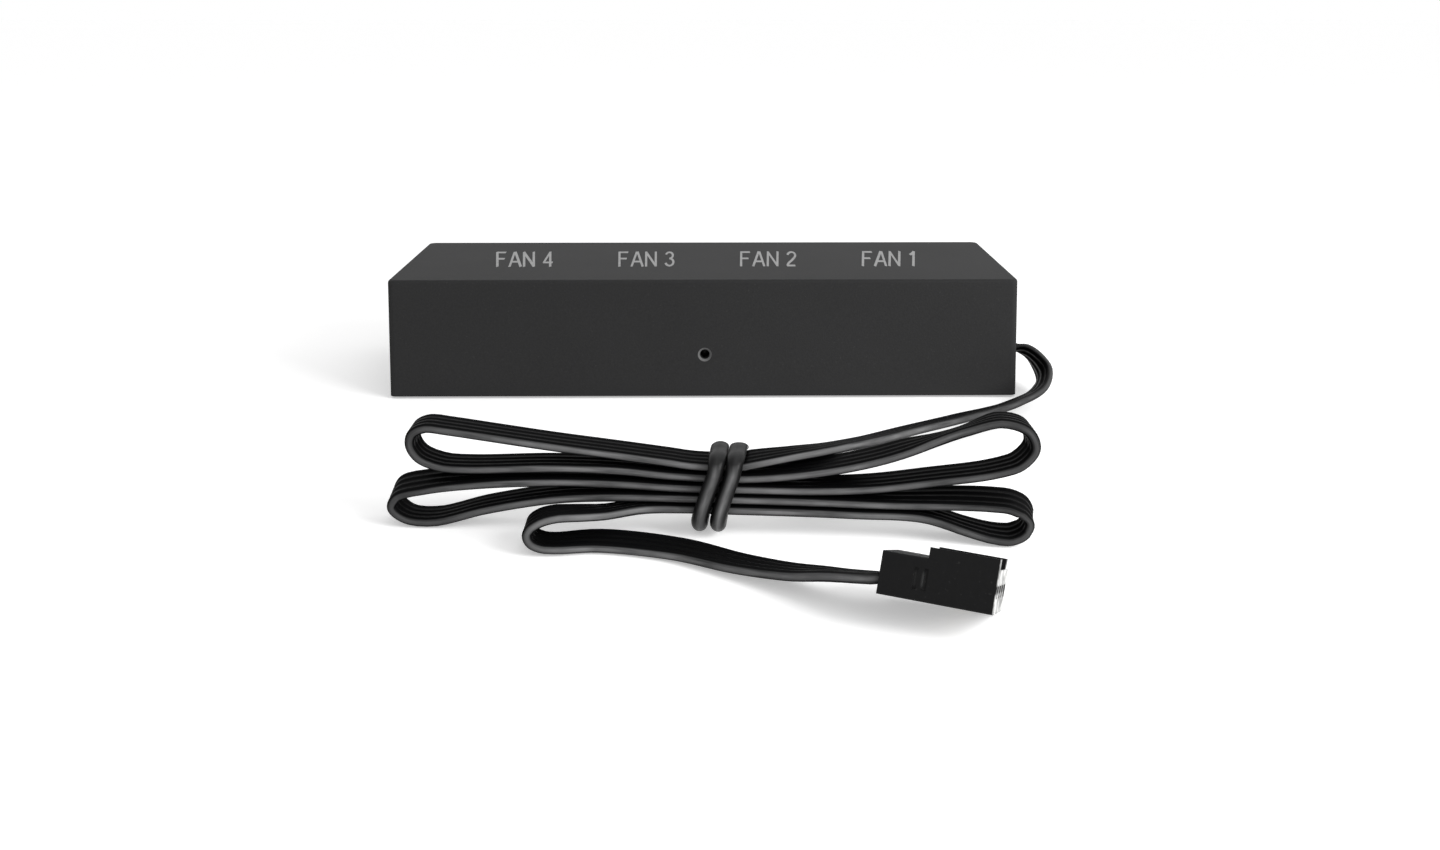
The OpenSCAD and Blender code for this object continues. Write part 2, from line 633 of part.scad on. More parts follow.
// The folded cord as one solid of its outer shape, with a round end at each fold
module cord_hank() {
    half = cord_t / 2;
    upper = layer_z[0] + half;
    second = layer_z[1] + half;
    fourth = layer_z[3] - half;
    lower = layer_z[4] - half;
    color([0.05, 0.05, 0.05]) in_hank_frame() translate([0, cord_w / 2, 0]) rotate([90, 0, 0]) linear_extrude(cord_w)
        polygon(joined([[[waist_right, upper], [waist_right, second], [14, 7.9 + half], [20.5, 9.4 + half]],
            arc(35, 11.7, 3.7, 110, -70), [[31, 7.2], [32, 5.3]], arc(36.4, 2.9, 2.8, 80, -100),
            [[28, 2.3 - half], [20, 3.1 - half], [waist_right, lower], [waist_left, lower], [waist_left, fourth],
                [-9, fourth + 0.1], [-15.5, 4.3], [-17.5, 3.9], [-24, 2 - half / 4]],
            arc(-34.4, 3.1, 2.9, -80, -260), [[-31, 6.6]], arc(-31.6, 10.2, 3.2, -110, -260),
            [[-24, 11.3 + half], [-9.7, 9.7 + half], [waist_left, upper], [pinch_left, upper - pinch],
                [pinch_right, upper - pinch]]]));
}

// The free cord from the hank to the plug, spread to the plug's width at its end
module cord_tail() {
    rows = smooth_route(joined([tail_route, [[plug_entry[0], plug_entry[1], plug_entry[2], plug_roll]]]), 2);
    dirs = headings(rows, -hank_dir, plug_dir);
    last = len(rows) - 1;
    color([0.05, 0.05, 0.05]) swept([for (i = [0 : last]) ring(rows[i], dirs[i], width_line(rows[i]),
        flat_outline(i > last - 3 ? cord_w + (fan_out - cord_w) * (i - last + 3) / 3 : cord_w, cord_t))]);
}

// A soft round tie, wound twice round the hank and ended behind it
module cord_tie() {
    side = cord_w / 2 + tie_fit + tie_r;
    top = layer_z[0] - pinch + cord_t / 2 + tie_fit + tie_r;
    low = layer_z[4] - cord_t / 2 - tie_fit - tie_r;
    inset = 0.7;
    mid = (top + low) / 2;
    route = [[4.9, 2.4, top + 0.45], [4.1, 0, top], [3.8, -side + inset, top], [3.65, -side, top - inset],
        [2.8, -side, mid], [1.9, -side, low + inset], [1.85, inset - side, low], [1.85, side - inset, low],
        [1.8, side, low + inset], [1.8, side, mid], [1.8, side, top - inset], [1.8, side - inset, top],
        [1.8, -side + inset, top], [1.6, -side, top - inset], [0.7, -side, mid], [-0.2, -side, low + inset],
        [-0.3, inset - side, low], [-0.3, side - inset, low], [-0.4, side, low + inset], [-0.4, side, mid + 1.2]];
    dirs = headings(route, unit(route[1] - route[0]), [0, 0, 1]);
    color([0.1, 0.1, 0.1]) in_hank_frame()
        swept([for (i = [0 : len(route) - 1]) ring(route[i], dirs[i], [1, 0, 0], round_outline(tie_r))]);
}

module at_plug() {
    translate([plug_x, plug_y, plug_z]) rotate([plug_roll, plug_pitch, plug_yaw]) children();
}

// The plug's body: four open chambers, two guide ribs at the mouth, a latch window under each chamber
module plug_housing() {
    color([0.08, 0.08, 0.09]) at_plug() difference() {
        union() {
            rotate([0, 90, 0]) translate([0, 0, -plug_l / 2]) rounded_plate(plug_t, plug_w, plug_l, plug_edge);
            for (y = [guide_y, inner_guide_y]) translate([plug_l / 2 - guide_l, y, plug_t / 2 - cut])
                cube([guide_l, guide_t, guide_h + cut]);
        }
        for (i = [0 : pins - 1]) translate([0, pin_x(i), 0]) {
            translate([-plug_l / 2 - cut, -chamber_w / 2, -chamber_h / 2])
                cube([plug_l - mouth_t + cut, chamber_w, chamber_h]);
            translate([0, -mouth_side / 2, -mouth_side / 2]) cube([plug_l, mouth_side, mouth_side]);
            translate([0.6, -0.6, -plug_t]) cube([2.2, 1.2, plug_t]);
        }
        for (x = [-2.4, -1.4], y = sides) translate([x, y * plug_w / 2 - 0.15, -1.1]) cube([0.4, 0.3, 2.2]);
    }
}

// A sprung box contact in each chamber, with its crimped barrel behind it
module plug_contacts() {
    contact_w = chamber_w - 2 * contact_fit;
    contact_h = chamber_h - 2 * contact_fit;
    front = plug_l / 2 - mouth_t - contact_fit;
    color([0.75, 0.72, 0.66]) at_plug() for (i = [0 : pins - 1]) translate([0, pin_x(i), 0]) difference() {
        union() {
            translate([front - contact_l, -contact_w / 2, -contact_h / 2]) cube([contact_l, contact_w, contact_h]);
            translate([front - contact_l - 2.6, 0, -0.3]) rotate([0, 90, 0]) cylinder(r = 0.7, h = 2.7);
        }
        translate([front - contact_l + 1, -contact_hole / 2, -contact_hole / 2])
            cube([contact_l, contact_hole, contact_hole]);
    }
}

top_cover();
base_plate();
circuit_board();
fan_header(1);  // fan_header_1
fan_header(2);  // fan_header_2
fan_header(3);  // fan_header_3
fan_header(4);  // fan_header_4
header_pins(1);  // header_pins_1
header_pins(2);  // header_pins_2
header_pins(3);  // header_pins_3
header_pins(4);  // header_pins_4
status_light();
controller_chip();
filter_capacitor();
chip_resistors();
board_screws();
case_screws();
cord_clamp();
clamp_screws();
cord_leads();
mounting_pad();
cord_run();
cord_hank();
cord_tail();
cord_tie();
plug_housing();
plug_contacts();
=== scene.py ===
import json
import logging
import math
from dataclasses import dataclass, field
from enum import Enum
from typing import Callable, Iterable, Sequence

import bmesh
import bpy
from mathutils import Matrix, Vector

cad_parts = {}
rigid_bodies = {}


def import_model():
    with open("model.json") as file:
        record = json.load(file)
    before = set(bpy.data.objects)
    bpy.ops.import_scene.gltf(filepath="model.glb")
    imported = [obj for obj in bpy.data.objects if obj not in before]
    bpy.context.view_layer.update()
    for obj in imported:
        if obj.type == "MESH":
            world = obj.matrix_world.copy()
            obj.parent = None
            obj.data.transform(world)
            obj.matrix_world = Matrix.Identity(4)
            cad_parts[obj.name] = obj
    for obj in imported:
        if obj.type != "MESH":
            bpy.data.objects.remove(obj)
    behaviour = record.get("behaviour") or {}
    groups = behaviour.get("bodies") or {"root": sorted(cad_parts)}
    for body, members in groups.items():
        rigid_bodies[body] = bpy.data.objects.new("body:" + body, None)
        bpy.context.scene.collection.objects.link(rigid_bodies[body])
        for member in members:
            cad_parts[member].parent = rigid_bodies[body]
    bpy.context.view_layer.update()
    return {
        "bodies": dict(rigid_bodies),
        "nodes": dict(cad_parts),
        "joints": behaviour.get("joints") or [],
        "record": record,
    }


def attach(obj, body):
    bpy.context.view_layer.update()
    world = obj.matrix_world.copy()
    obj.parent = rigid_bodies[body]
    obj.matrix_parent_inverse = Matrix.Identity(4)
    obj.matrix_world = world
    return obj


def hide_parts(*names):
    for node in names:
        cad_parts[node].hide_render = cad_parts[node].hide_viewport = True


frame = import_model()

log = logging.getLogger("fan_hub")
MM = 0.001
BODY = "root"
TINY = 1e-9
Row = tuple[float, float, float, float, float]
Line = list[tuple[float, float]]
Colour = tuple[float, float, float]
Socket = bpy.types.NodeSocket


def new_piece(name: str, mesh: bmesh.types.BMesh, smooth: bool = True) -> bpy.types.Object:
    """Turn a bmesh into an object at the origin.

    Args:
        name: The piece's name.
        mesh: The finished bmesh, which is freed.
        smooth: Whether its faces are shaded smooth.

    Returns:
        The new object, linked to the scene.
    """
    bmesh.ops.recalc_face_normals(mesh, faces=mesh.faces)
    data = bpy.data.meshes.new(name)
    mesh.to_mesh(data)
    mesh.free()
    for face in data.polygons:
        face.use_smooth = smooth
    piece = bpy.data.objects.new(name, data)
    bpy.context.scene.collection.objects.link(piece)
    return piece


def turn(roll: float, pitch: float, yaw: float) -> Matrix:
    """Give the turn by roll about X, then pitch about Y, then yaw about Z.

    Args:
        roll: Degrees about X.
        pitch: Degrees about Y.
        yaw: Degrees about Z.

    Returns:
        A four by four matrix.
    """
    return (Matrix.Rotation(math.radians(yaw), 4, "Z") @ Matrix.Rotation(math.radians(pitch), 4, "Y")
            @ Matrix.Rotation(math.radians(roll), 4, "X"))


class NodeSheet:
    """A small helper that adds and joins the nodes of one node tree."""

    def __init__(self, tree: bpy.types.NodeTree) -> None:
        """Keep the tree that nodes are added to."""
        self.tree = tree

    def add(self, kind: str, **values: object) -> bpy.types.Node:
        """Add a node and set its attributes.

        Args:
            kind: The node's type name.
            **values: Attributes to set on it.

        Returns:
            The new node.
        """
        node = self.tree.nodes.new(kind)
        for name, value in values.items():
            setattr(node, name, value)
        return node

    def feed(self, value: object, slot: Socket) -> None:
        """Link an input to a socket, or set it to a plain value.

        Args:
            value: A socket, a number or a colour.
            slot: The input.
        """
        if isinstance(value, Socket):
            self.tree.links.new(value, slot)
        else:
            slot.default_value = value

    def place(self) -> Socket:
        """Give the object coordinates."""
        return self.add("ShaderNodeTexCoord").outputs["Object"]

    def axes(self, vector: Socket) -> bpy.types.NodeOutputs:
        """Give a vector's X, Y and Z as sockets of those names."""
        node = self.add("ShaderNodeSeparateXYZ")
        self.feed(vector, node.inputs[0])
        return node.outputs

    def maths(self, operation: str, first: object, second: object = 0.0, clamp: bool = False) -> Socket:
        """Add a math node.

        Args:
            operation: The math node's operation.
            first: A socket or a number.
            second: A socket or a number.
            clamp: Whether the result is held between 0 and 1.

        Returns:
            The node's output socket.
        """
        node = self.add("ShaderNodeMath", operation=operation, use_clamp=clamp)
        self.feed(first, node.inputs[0])
        self.feed(second, node.inputs[1])
        return node.outputs[0]

    def span(self, value: Socket, low: float, high: float, to_low: float = 0.0, to_high: float = 1.0) -> Socket:
        """Map a value's range onto another one, held at its ends.

        Args:
            value: The socket that is mapped.
            low: The value that gives to_low.
            high: The value that gives to_high.
            to_low: The result at low.
            to_high: The result at high.

        Returns:
            The mapped value's socket.
        """
        node = self.add("ShaderNodeMapRange", clamp=True)
        self.feed(value, node.inputs["Value"])
        for name, number in (("From Min", low), ("From Max", high), ("To Min", to_low), ("To Max", to_high)):
            node.inputs[name].default_value = number
        return node.outputs["Result"]

    def band(self, value: Socket, ends: Sequence[float]) -> Socket:
        """Give 1 inside a band and 0 outside it, with soft ends.

        Args:
            value: The socket that is looked at.
            ends: Where the band starts to rise, is full, starts to fall and has ended.

        Returns:
            The band's socket.
        """
        fall = self.span(value, ends[2], ends[3], 1.0, 0.0)
        return self.maths("MULTIPLY", self.span(value, ends[0], ends[1]), fall)

    def noise(self, vector: Socket, scale: object, detail: float = 3.0, rough: float = 0.5) -> Socket:
        """Add a noise texture and give its value.

        Args:
            vector: The coordinates.
            scale: Cells per metre, as a socket or a number.
            detail: Octaves of detail.
            rough: Strength of the finer octaves.

        Returns:
            The noise value's socket.
        """
        node = self.add("ShaderNodeTexNoise")
        for name, value in (("Vector", vector), ("Scale", scale), ("Detail", detail), ("Roughness", rough)):
            self.feed(value, node.inputs[name])
        return node.outputs[0]

    def blend(self, share: Socket, first: object, second: object) -> Socket:
        """Mix two colours, whose sockets a mix node keeps after those for numbers and vectors.

        Args:
            share: The share of the second colour.
            first: A socket or a colour.
            second: A socket or a colour.

        Returns:
            The mixed colour's socket.
        """
        node = self.add("ShaderNodeMix", data_type="RGBA")
        for slot, value in ((0, share), (6, first), (7, second)):
            self.feed(value, node.inputs[slot])
        return node.outputs[2]

    def use(self, group: bpy.types.NodeTree, **values: object) -> bpy.types.Node:
        """Place a node group with its inputs set.

        Args:
            group: The node group.
            **values: A value for each input; an underscore stands for a space in its name.

        Returns:
            The group's node.
        """
        node = self.add("ShaderNodeGroup", node_tree=group)
        for name, value in values.items():
            node.inputs[name.replace("_", " ")].default_value = value
        return node

    def bump(self, height: Socket, strength: float, depth: float, skin: bpy.types.Node) -> None:
        """Roughen a surface by its height.

        Args:
            height: The height's socket.
            strength: How strongly it shows.
            depth: The height of 1, in metres.
            skin: The Principled node.
        """
        node = self.add("ShaderNodeBump")
        for name, value in (("Strength", strength), ("Distance", depth), ("Height", height)):
            self.feed(value, node.inputs[name])
        self.feed(node.outputs["Normal"], skin.inputs["Normal"])


GroupParts = tuple[bpy.types.NodeTree, NodeSheet, bpy.types.Node, bpy.types.Node]


def group_sheet(name: str, inputs: Iterable[tuple[str, str, object]],
                outputs: Iterable[tuple[str, str]]) -> GroupParts:
    """Start a shader node group with named inputs and outputs.

    Args:
        name: The group's name.
        inputs: Name, socket type and default of each input.
        outputs: Name and socket type of each output.

    Returns:
        The tree, its helper, its input node and its output node.
    """
    tree = bpy.data.node_groups.new(name, "ShaderNodeTree")
    for label, kind, default in inputs:
        tree.interface.new_socket(name=label, in_out="INPUT", socket_type=kind).default_value = default
    for label, kind in outputs:
        tree.interface.new_socket(name=label, in_out="OUTPUT", socket_type=kind)
    sheet = NodeSheet(tree)
    return tree, sheet, sheet.add("NodeGroupInput"), sheet.add("NodeGroupOutput")


@dataclass(frozen=True)
class MouldedGrain:
    """The shared group for a moulded surface: fine grain, slow cloudiness and rare specks."""

    grain_detail: float = 2.0
    fineness: float = 0.35
    cloud: tuple[float, float, float] = (55.0, 4.0, 0.55)
    speck: tuple[float, float] = (2600.0, 1.0)
    speck_from: tuple[float, float] = (0.70, 0.76)
    speck_colour: Colour = (0.32, 0.31, 0.3)
    cloud_rough: float = 0.4
    grain_rough: float = 0.2

    def make(self) -> bpy.types.NodeTree:
        """Build the node group.

        Returns:
            The node group, with outputs Colour, Roughness and Height.
        """
        tree, sheet, entry, leave = group_sheet(
            "moulded_grain",
            (("Colour", "NodeSocketColor", (0.03, 0.03, 0.03, 1)), ("Roughness", "NodeSocketFloat", 0.5),
             ("Grain Size", "NodeSocketFloat", 0.0003), ("Cloud", "NodeSocketFloat", 0.1),
             ("Dust", "NodeSocketFloat", 0.1)),
            (("Colour", "NodeSocketColor"), ("Roughness", "NodeSocketFloat"), ("Height", "NodeSocketFloat")))
        place = sheet.place()
        grain = sheet.noise(place, sheet.maths("DIVIDE", 1.0, entry.outputs["Grain Size"]), self.grain_detail)
        cloud = sheet.noise(place, *self.cloud)
        specks = sheet.span(sheet.noise(place, *self.speck), *self.speck_from)
        tint = sheet.maths("MULTIPLY", sheet.maths("SUBTRACT", cloud, 0.5), entry.outputs["Cloud"])
        fine = sheet.maths("MULTIPLY", sheet.maths("SUBTRACT", grain, 0.5), self.fineness)
        shaded = sheet.add("ShaderNodeVectorMath", operation="SCALE")
        sheet.feed(entry.outputs["Colour"], shaded.inputs[0])
        sheet.feed(sheet.maths("ADD", sheet.maths("ADD", 1.0, tint), fine), shaded.inputs["Scale"])
        dust = sheet.maths("MULTIPLY", specks, entry.outputs["Dust"])
        sheet.feed(sheet.blend(dust, shaded.outputs[0], (*self.speck_colour, 1)), leave.inputs["Colour"])
        rough = sheet.maths("ADD", entry.outputs["Roughness"], sheet.maths("MULTIPLY", tint, self.cloud_rough))
        rough = sheet.maths("ADD", rough, sheet.maths("MULTIPLY", fine, self.grain_rough), True)
        sheet.feed(rough, leave.inputs["Roughness"])
        sheet.feed(grain, leave.inputs["Height"])
        return tree


@dataclass(frozen=True)
class WornSpots:
    """The shared group that gives a mask of worn spots, broken up along the surface."""

    detail: float = 4.0
    level: float = 0.7
    contrast: float = 6.0

    def make(self) -> bpy.types.NodeTree:
        """Build the node group.

        Returns:
            The node group, with the output Mask.
        """
        tree, sheet, entry, leave = group_sheet(
            "worn_spots", (("Scale", "NodeSocketFloat", 400.0), ("Amount", "NodeSocketFloat", 0.4)),
            (("Mask", "NodeSocketFloat"),))
        spots = sheet.noise(sheet.place(), entry.outputs["Scale"], self.detail)
        edge = sheet.maths("MULTIPLY", sheet.maths("SUBTRACT", 1.0, entry.outputs["Amount"]), self.level)
        mask = sheet.maths("MULTIPLY", sheet.maths("SUBTRACT", spots, edge), self.contrast, True)
        sheet.feed(mask, leave.inputs["Mask"])
        return tree


class Finishes:
    """The shared node groups that the materials use."""

    def __init__(self) -> None:
        """Build the node groups once."""
        self.grain = MouldedGrain().make()
        self.wear = WornSpots().make()


def start_material(name: str) -> tuple[bpy.types.Material, NodeSheet, bpy.types.Node]:
    """Start a material.

    Args:
        name: The material's name.

    Returns:
        The material, its node helper and its Principled node.
    """
    material = bpy.data.materials.new(name)
    material.use_nodes = True
    return material, NodeSheet(material.node_tree), material.node_tree.nodes["Principled BSDF"]


@dataclass(frozen=True)
class MouldedFinish:
    """A moulded plastic or rubber surface."""

    name: str
    colour: Colour
    roughness: float
    grain: float = 0.0003
    depth: float = 0.00003
    cloud: float = 0.25
    dust: float = 0.05
    specular: float = 0.5
    relief: float = 0.6

    def make(self, shop: Finishes) -> bpy.types.Material:
        """Build the material.

        Args:
            shop: The shared node groups.

        Returns:
            The material.
        """
        material, sheet, skin = start_material(self.name)
        grain = sheet.use(shop.grain, Colour=(*self.colour, 1), Roughness=self.roughness, Grain_Size=self.grain,
                          Cloud=self.cloud, Dust=self.dust)
        sheet.feed(self.mark(sheet, grain.outputs["Colour"]), skin.inputs["Base Color"])
        sheet.feed(grain.outputs["Roughness"], skin.inputs["Roughness"])
        skin.inputs["Specular IOR Level"].default_value = self.specular
        sheet.bump(grain.outputs["Height"], self.relief, self.depth, skin)
        return material

    def mark(self, sheet: NodeSheet, colour: Socket) -> Socket:
        """Give the moulded colour as it is; a finish with marks of its own adds them here."""
        return colour


@dataclass(frozen=True)
class CaseFinish(MouldedFinish):
    """The case's plastic, with a highlight painted on the chamfer of its peep hole; places are in millimetres."""

    hole: tuple[float, float] = (0.2, 7.1)
    ring: tuple[float, float, float, float] = (0.76, 0.8, 1.07, 1.12)
    wall: tuple[float, float] = (-17.2, -17.5)
    # The colour of the highlight painted on the peep hole's chamfer.
    painted_highlight: Colour = (0.13, 0.13, 0.13)

    def mark(self, sheet: NodeSheet, colour: Socket) -> Socket:
        """Paint the chamfer's highlight.

        Args:
            sheet: The material's node helper.
            colour: The moulded colour.

        Returns:
            The colour with the chamfer.
        """
        where = sheet.axes(sheet.place())
        across = sheet.maths("SUBTRACT", where["X"], self.hole[0] * MM)
        up = sheet.maths("SUBTRACT", where["Z"], self.hole[1] * MM)
        square = sheet.maths("ADD", sheet.maths("MULTIPLY", across, across), sheet.maths("MULTIPLY", up, up))
        # The ring is where the chamfer's highlight is painted, on the front wall's face only.
        ring = sheet.band(sheet.maths("SQRT", square), [radius * MM for radius in self.ring])
        outside = sheet.span(where["Y"], self.wall[0] * MM, self.wall[1] * MM)
        return sheet.blend(sheet.maths("MULTIPLY", ring, outside), colour, (*self.painted_highlight, 1))


@dataclass(frozen=True)
class PlugFinish(MouldedFinish):
    """The plug's plastic: pale and blotched on its mouth's end, with highlights painted along two faint sink marks
    on one side.
    """

    middle: tuple[float, float, float] = (0.0, 0.0, 0.0)
    turned: tuple[float, float, float] = (0.0, 0.0, 0.0)
    mouth: tuple[float, float] = (5.68, 5.76)
    pale: Colour = (0.55, 0.55, 0.54)
    blotch_scale: float = 700.0
    blotches: tuple[float, float, float, float] = (0.38, 0.6, 0.25, 1.0)
    notch: tuple[float, float, float, float] = (-0.3, 0.0, 0.5, 0.8)
    notch_share: float = 0.15
    marks: tuple[float, float] = (-2.2, -1.4)
    mark_face: tuple[float, float] = (-4.9, -5.0)
    mark_height: tuple[float, float, float, float] = (-0.9, -0.5, 0.5, 0.9)
    mark_width: tuple[float, float] = (0.05, 0.25)
    mark_share: float = 0.6
    # The colour of the highlight painted along the sink marks.
    mark_highlight_colour: Colour = (0.05, 0.05, 0.05)

    def mark(self, sheet: NodeSheet, colour: Socket) -> Socket:
        """Tint the mouth's end and paint highlights along the sink marks, in the plug's own frame and in
        millimetres.

        Args:
            sheet: The material's node helper.
            colour: The moulded colour.

        Returns:
            The colour with the marks.
        """
        mapping = sheet.add("ShaderNodeMapping", vector_type="TEXTURE")
        place = sheet.place()
        sheet.feed(place, mapping.inputs["Vector"])
        mapping.inputs["Location"].default_value = [v * MM for v in self.middle]
        mapping.inputs["Rotation"].default_value = [math.radians(v) for v in self.turned]
        mapping.inputs["Scale"].default_value = (MM, MM, MM)
        where = sheet.axes(mapping.outputs["Vector"])
        blotch = sheet.span(sheet.noise(place, self.blotch_scale), *self.blotches)
        notch = sheet.span(sheet.band(where["Z"], self.notch), 0.0, 1.0, 1.0, self.notch_share)
        shown = sheet.maths("MULTIPLY", sheet.span(where["X"], *self.mouth), notch)
        marked = sheet.blend(sheet.maths("MULTIPLY", shown, blotch), colour, (*self.pale, 1))
        face = sheet.span(where["Y"], *self.mark_face)
        side = sheet.maths("MULTIPLY", face, sheet.band(where["Z"], self.mark_height))
        # Each sink mark gets a bar of painted highlight.
        for at in self.marks:
            off = sheet.maths("ABSOLUTE", sheet.maths("SUBTRACT", where["X"], at))
            bar = sheet.maths("MULTIPLY", side, sheet.span(off, *self.mark_width, self.mark_share, 0.0))
            marked = sheet.blend(bar, marked, (*self.mark_highlight_colour, 1))
        return marked


@dataclass(frozen=True)
class MetalFinish:
    """A plated or plain metal surface with worn spots."""

    name: str
    colour: Colour
    wear_and_painted_highlight: Colour
    roughness: float
    wear_scale: float = 900.0
    wear_amount: float = 0.3
    duller: float = 0.2

    def make(self, shop: Finishes) -> bpy.types.Material:
        """Build the material.

        Args:
            shop: The shared node groups.

        Returns:
            The material.
        """
        material, sheet, skin = start_material(self.name)
        mask = sheet.use(shop.wear, Scale=self.wear_scale, Amount=self.wear_amount).outputs["Mask"]
        sheet.feed(sheet.blend(mask, (*self.colour, 1), (*self.wear_and_painted_highlight, 1)), skin.inputs["Base Color"])
        rough = sheet.span(mask, 0.0, 1.0, self.roughness, self.roughness + self.duller)
        sheet.feed(rough, skin.inputs["Roughness"])
        skin.inputs["Metallic"].default_value = 1.0
        return material


@dataclass(frozen=True)
class CordFinish:
    """The soft skin of the flat cord or of its tie, with a highlight painted lighter along the lines that stand
    out.

    The painted highlight fades upwards over the heights in fading, and outwards over the distances in
    highlight_spread.
    """

    name: str = "cord_skin"
    colour: Colour = (0.003, 0.003, 0.0032)
    # edge is the colour of the painted highlight along the cord's outer edges and down the tie's middle.
    edge: Colour = (0.21, 0.21, 0.212)
    roughness: float = 0.36
    specular: float = 0.02
    # The band across the width, measured from its middle, where the highlight is painted.
    painted_highlight: tuple[float, float] = (0.46, 0.4985)
    waves: tuple[float, float] = (40.0, 160.0)
    streaks: tuple[float, float, float, float] = (0.3, 0.7, 0.35, 1.0)
    fading: tuple[float, float] = (1.0, 2.0)
    faded: float = 0.08
    # The painted highlight grows weaker towards the hank's ends, down to the share after these distances.
    highlight_spread: tuple[float, float] = (0.02, 0.036)
    highlight_outer_share: float = 0.38
    scuff: tuple[float, float] = (500.0, 4.0)
    scuff_range: tuple[float, float] = (0.2, 0.8)
    smoother: float = 0.06
    rougher: float = 0.1
    rim_rough: float = 0.12
    pore_scale: float = 1400.0
    relief: float = 0.35
    depth: float = 0.00004

    def make(self, shop: Finishes) -> bpy.types.Material:
        """Build the material, which reads the cord's UV map: u across its width, v along its length.

        Args:
            shop: The shared node groups; not used.

        Returns:
            The material.
        """
        material, sheet, skin = start_material(self.name)
        where = sheet.axes(sheet.add("ShaderNodeUVMap", uv_map="along").outputs[0])
        # rim is the band where the highlight is painted, along the lines that stand out.
        rim = sheet.span(sheet.maths("ABSOLUTE", sheet.maths("SUBTRACT", where["X"], 0.5)), *self.painted_highlight)
        drawn = sheet.add("ShaderNodeCombineXYZ")
        for axis, stretch in zip("XY", self.waves):
            sheet.feed(sheet.maths("MULTIPLY", where[axis], stretch), drawn.inputs[axis])
        # streak breaks the painted highlight up along the length.
        streak = sheet.span(sheet.noise(drawn.outputs[0], 1.0), *self.streaks)
        place = sheet.place()
        spot = sheet.axes(place)
        # low fades the painted highlight upwards, which leaves the tie's top dark; held makes it weaker towards the
        # hank's ends.
        low = sheet.span(spot["Z"], *self.fading, 1.0, self.faded)
        held = sheet.span(sheet.maths("ABSOLUTE", spot["X"]), *self.highlight_spread, 1.0, self.highlight_outer_share)
        wear_and_painted_highlight = sheet.maths("MULTIPLY", sheet.maths("MULTIPLY", rim, low), held)
        mask = sheet.maths("MULTIPLY", wear_and_painted_highlight, streak)
        # The skin's own colour with the painted highlight laid over it.
        sheet.feed(sheet.blend(mask, (*self.colour, 1), (*self.edge, 1)), skin.inputs["Base Color"])
        scuffed = sheet.span(sheet.noise(place, *self.scuff), *self.scuff_range, self.roughness - self.smoother,
                             self.roughness + self.rougher)
        rough = sheet.maths("ADD", scuffed, sheet.maths("MULTIPLY", rim, self.rim_rough), True)
        sheet.feed(rough, skin.inputs["Roughness"])
        skin.inputs["Specular IOR Level"].default_value = self.specular
        sheet.bump(sheet.noise(place, self.pore_scale), self.relief, self.depth, skin)
        return material


@dataclass(frozen=True)
class PrintFinish:
    """Printed ink with a little wear."""

    name: str = "label_ink"
    colour: Colour = (0.31, 0.31, 0.31)
    faded: float = 0.7
    roughness: float = 0.6
    wear_scale: float = 1500.0
    wear_amount: float = 0.25

    def make(self, shop: Finishes) -> bpy.types.Material:
        """Build the material.

        Args:
            shop: The shared node groups.

        Returns:
            The material.
        """
        material, sheet, skin = start_material(self.name)
        mask = sheet.use(shop.wear, Scale=self.wear_scale, Amount=self.wear_amount).outputs["Mask"]
        faded = tuple(part * self.faded for part in self.colour)
        sheet.feed(sheet.blend(mask, (*self.colour, 1), (*faded, 1)), skin.inputs["Base Color"])
        skin.inputs["Roughness"].default_value = self.roughness
        return material


def curve_point(rows: Sequence[Sequence[float]], share: float) -> list[float]:
    """Give a point between the middle two of four rows, on the smooth curve through them.

    Args:
        rows: Four rows, whose first three numbers are a place.
        share: The share of the way from the second row to the third.

    Returns:
        The row at that share.
    """
    gaps = [math.sqrt(max(TINY, math.dist(rows[i][:3], rows[i + 1][:3]))) for i in range(3)]
    knots = [0.0, gaps[0], gaps[0] + gaps[1], sum(gaps)]
    at = knots[1] + (knots[2] - knots[1]) * share

    def mix(first: Sequence[float], second: Sequence[float], start: float, end: float) -> list[float]:
        """Mix two rows by where the knot value lies between start and end."""
        return [(a * (end - at) + b * (at - start)) / (end - start) for a, b in zip(first, second)]

    first = mix(rows[0], rows[1], knots[0], knots[1])
    second = mix(rows[1], rows[2], knots[1], knots[2])
    third = mix(rows[2], rows[3], knots[2], knots[3])
    return mix(mix(first, second, knots[0], knots[2]), mix(second, third, knots[1], knots[3]), knots[1], knots[2])


def smooth_route(rows: Sequence[Row], pitch: float, bend: float = 7.0, fine: float = 0.12) -> list[list[float]]:
    """Fill a route with rows on a smooth curve, closer together where it turns.

    Args:
        rows: The route's rows, in millimetres and degrees.
        pitch: The longest distance between new rows, in millimetres.
        bend: The largest turn between new rows, in degrees.
        fine: The distance between the points that the curve is first drawn with, in millimetres.

    Returns:
        The filled route.
    """
    first = [2 * a - b for a, b in zip(rows[0], rows[1])]
    last = [2 * a - b for a, b in zip(rows[-1], rows[-2])]
    held = [first, *[list(row) for row in rows], last]
    dense: list[list[float]] = []
    for i in range(len(rows) - 1):
        count = max(2, round(math.dist(rows[i][:3], rows[i + 1][:3]) / fine))
        dense.extend(curve_point(held[i:i + 4], j / count) for j in range(count))
    dense.append(list(rows[-1]))
    kept = [dense[0]]
    turned = travelled = 0.0
    for before, here, after in zip(dense, dense[1:], dense[2:]):
        arriving = Vector(here[:3]) - Vector(before[:3])
        turned += math.degrees(arriving.angle(Vector(after[:3]) - Vector(here[:3])))
        travelled += arriving.length
        if turned >= bend or travelled >= pitch:
            kept.append(here)
            turned = travelled = 0.0
    return [*kept, dense[-1]]


def plain_section(_share: float, _row: Sequence[float]) -> tuple[float, float]:
    """Leave a section its size all along its route."""
    return 1.0, 1.0


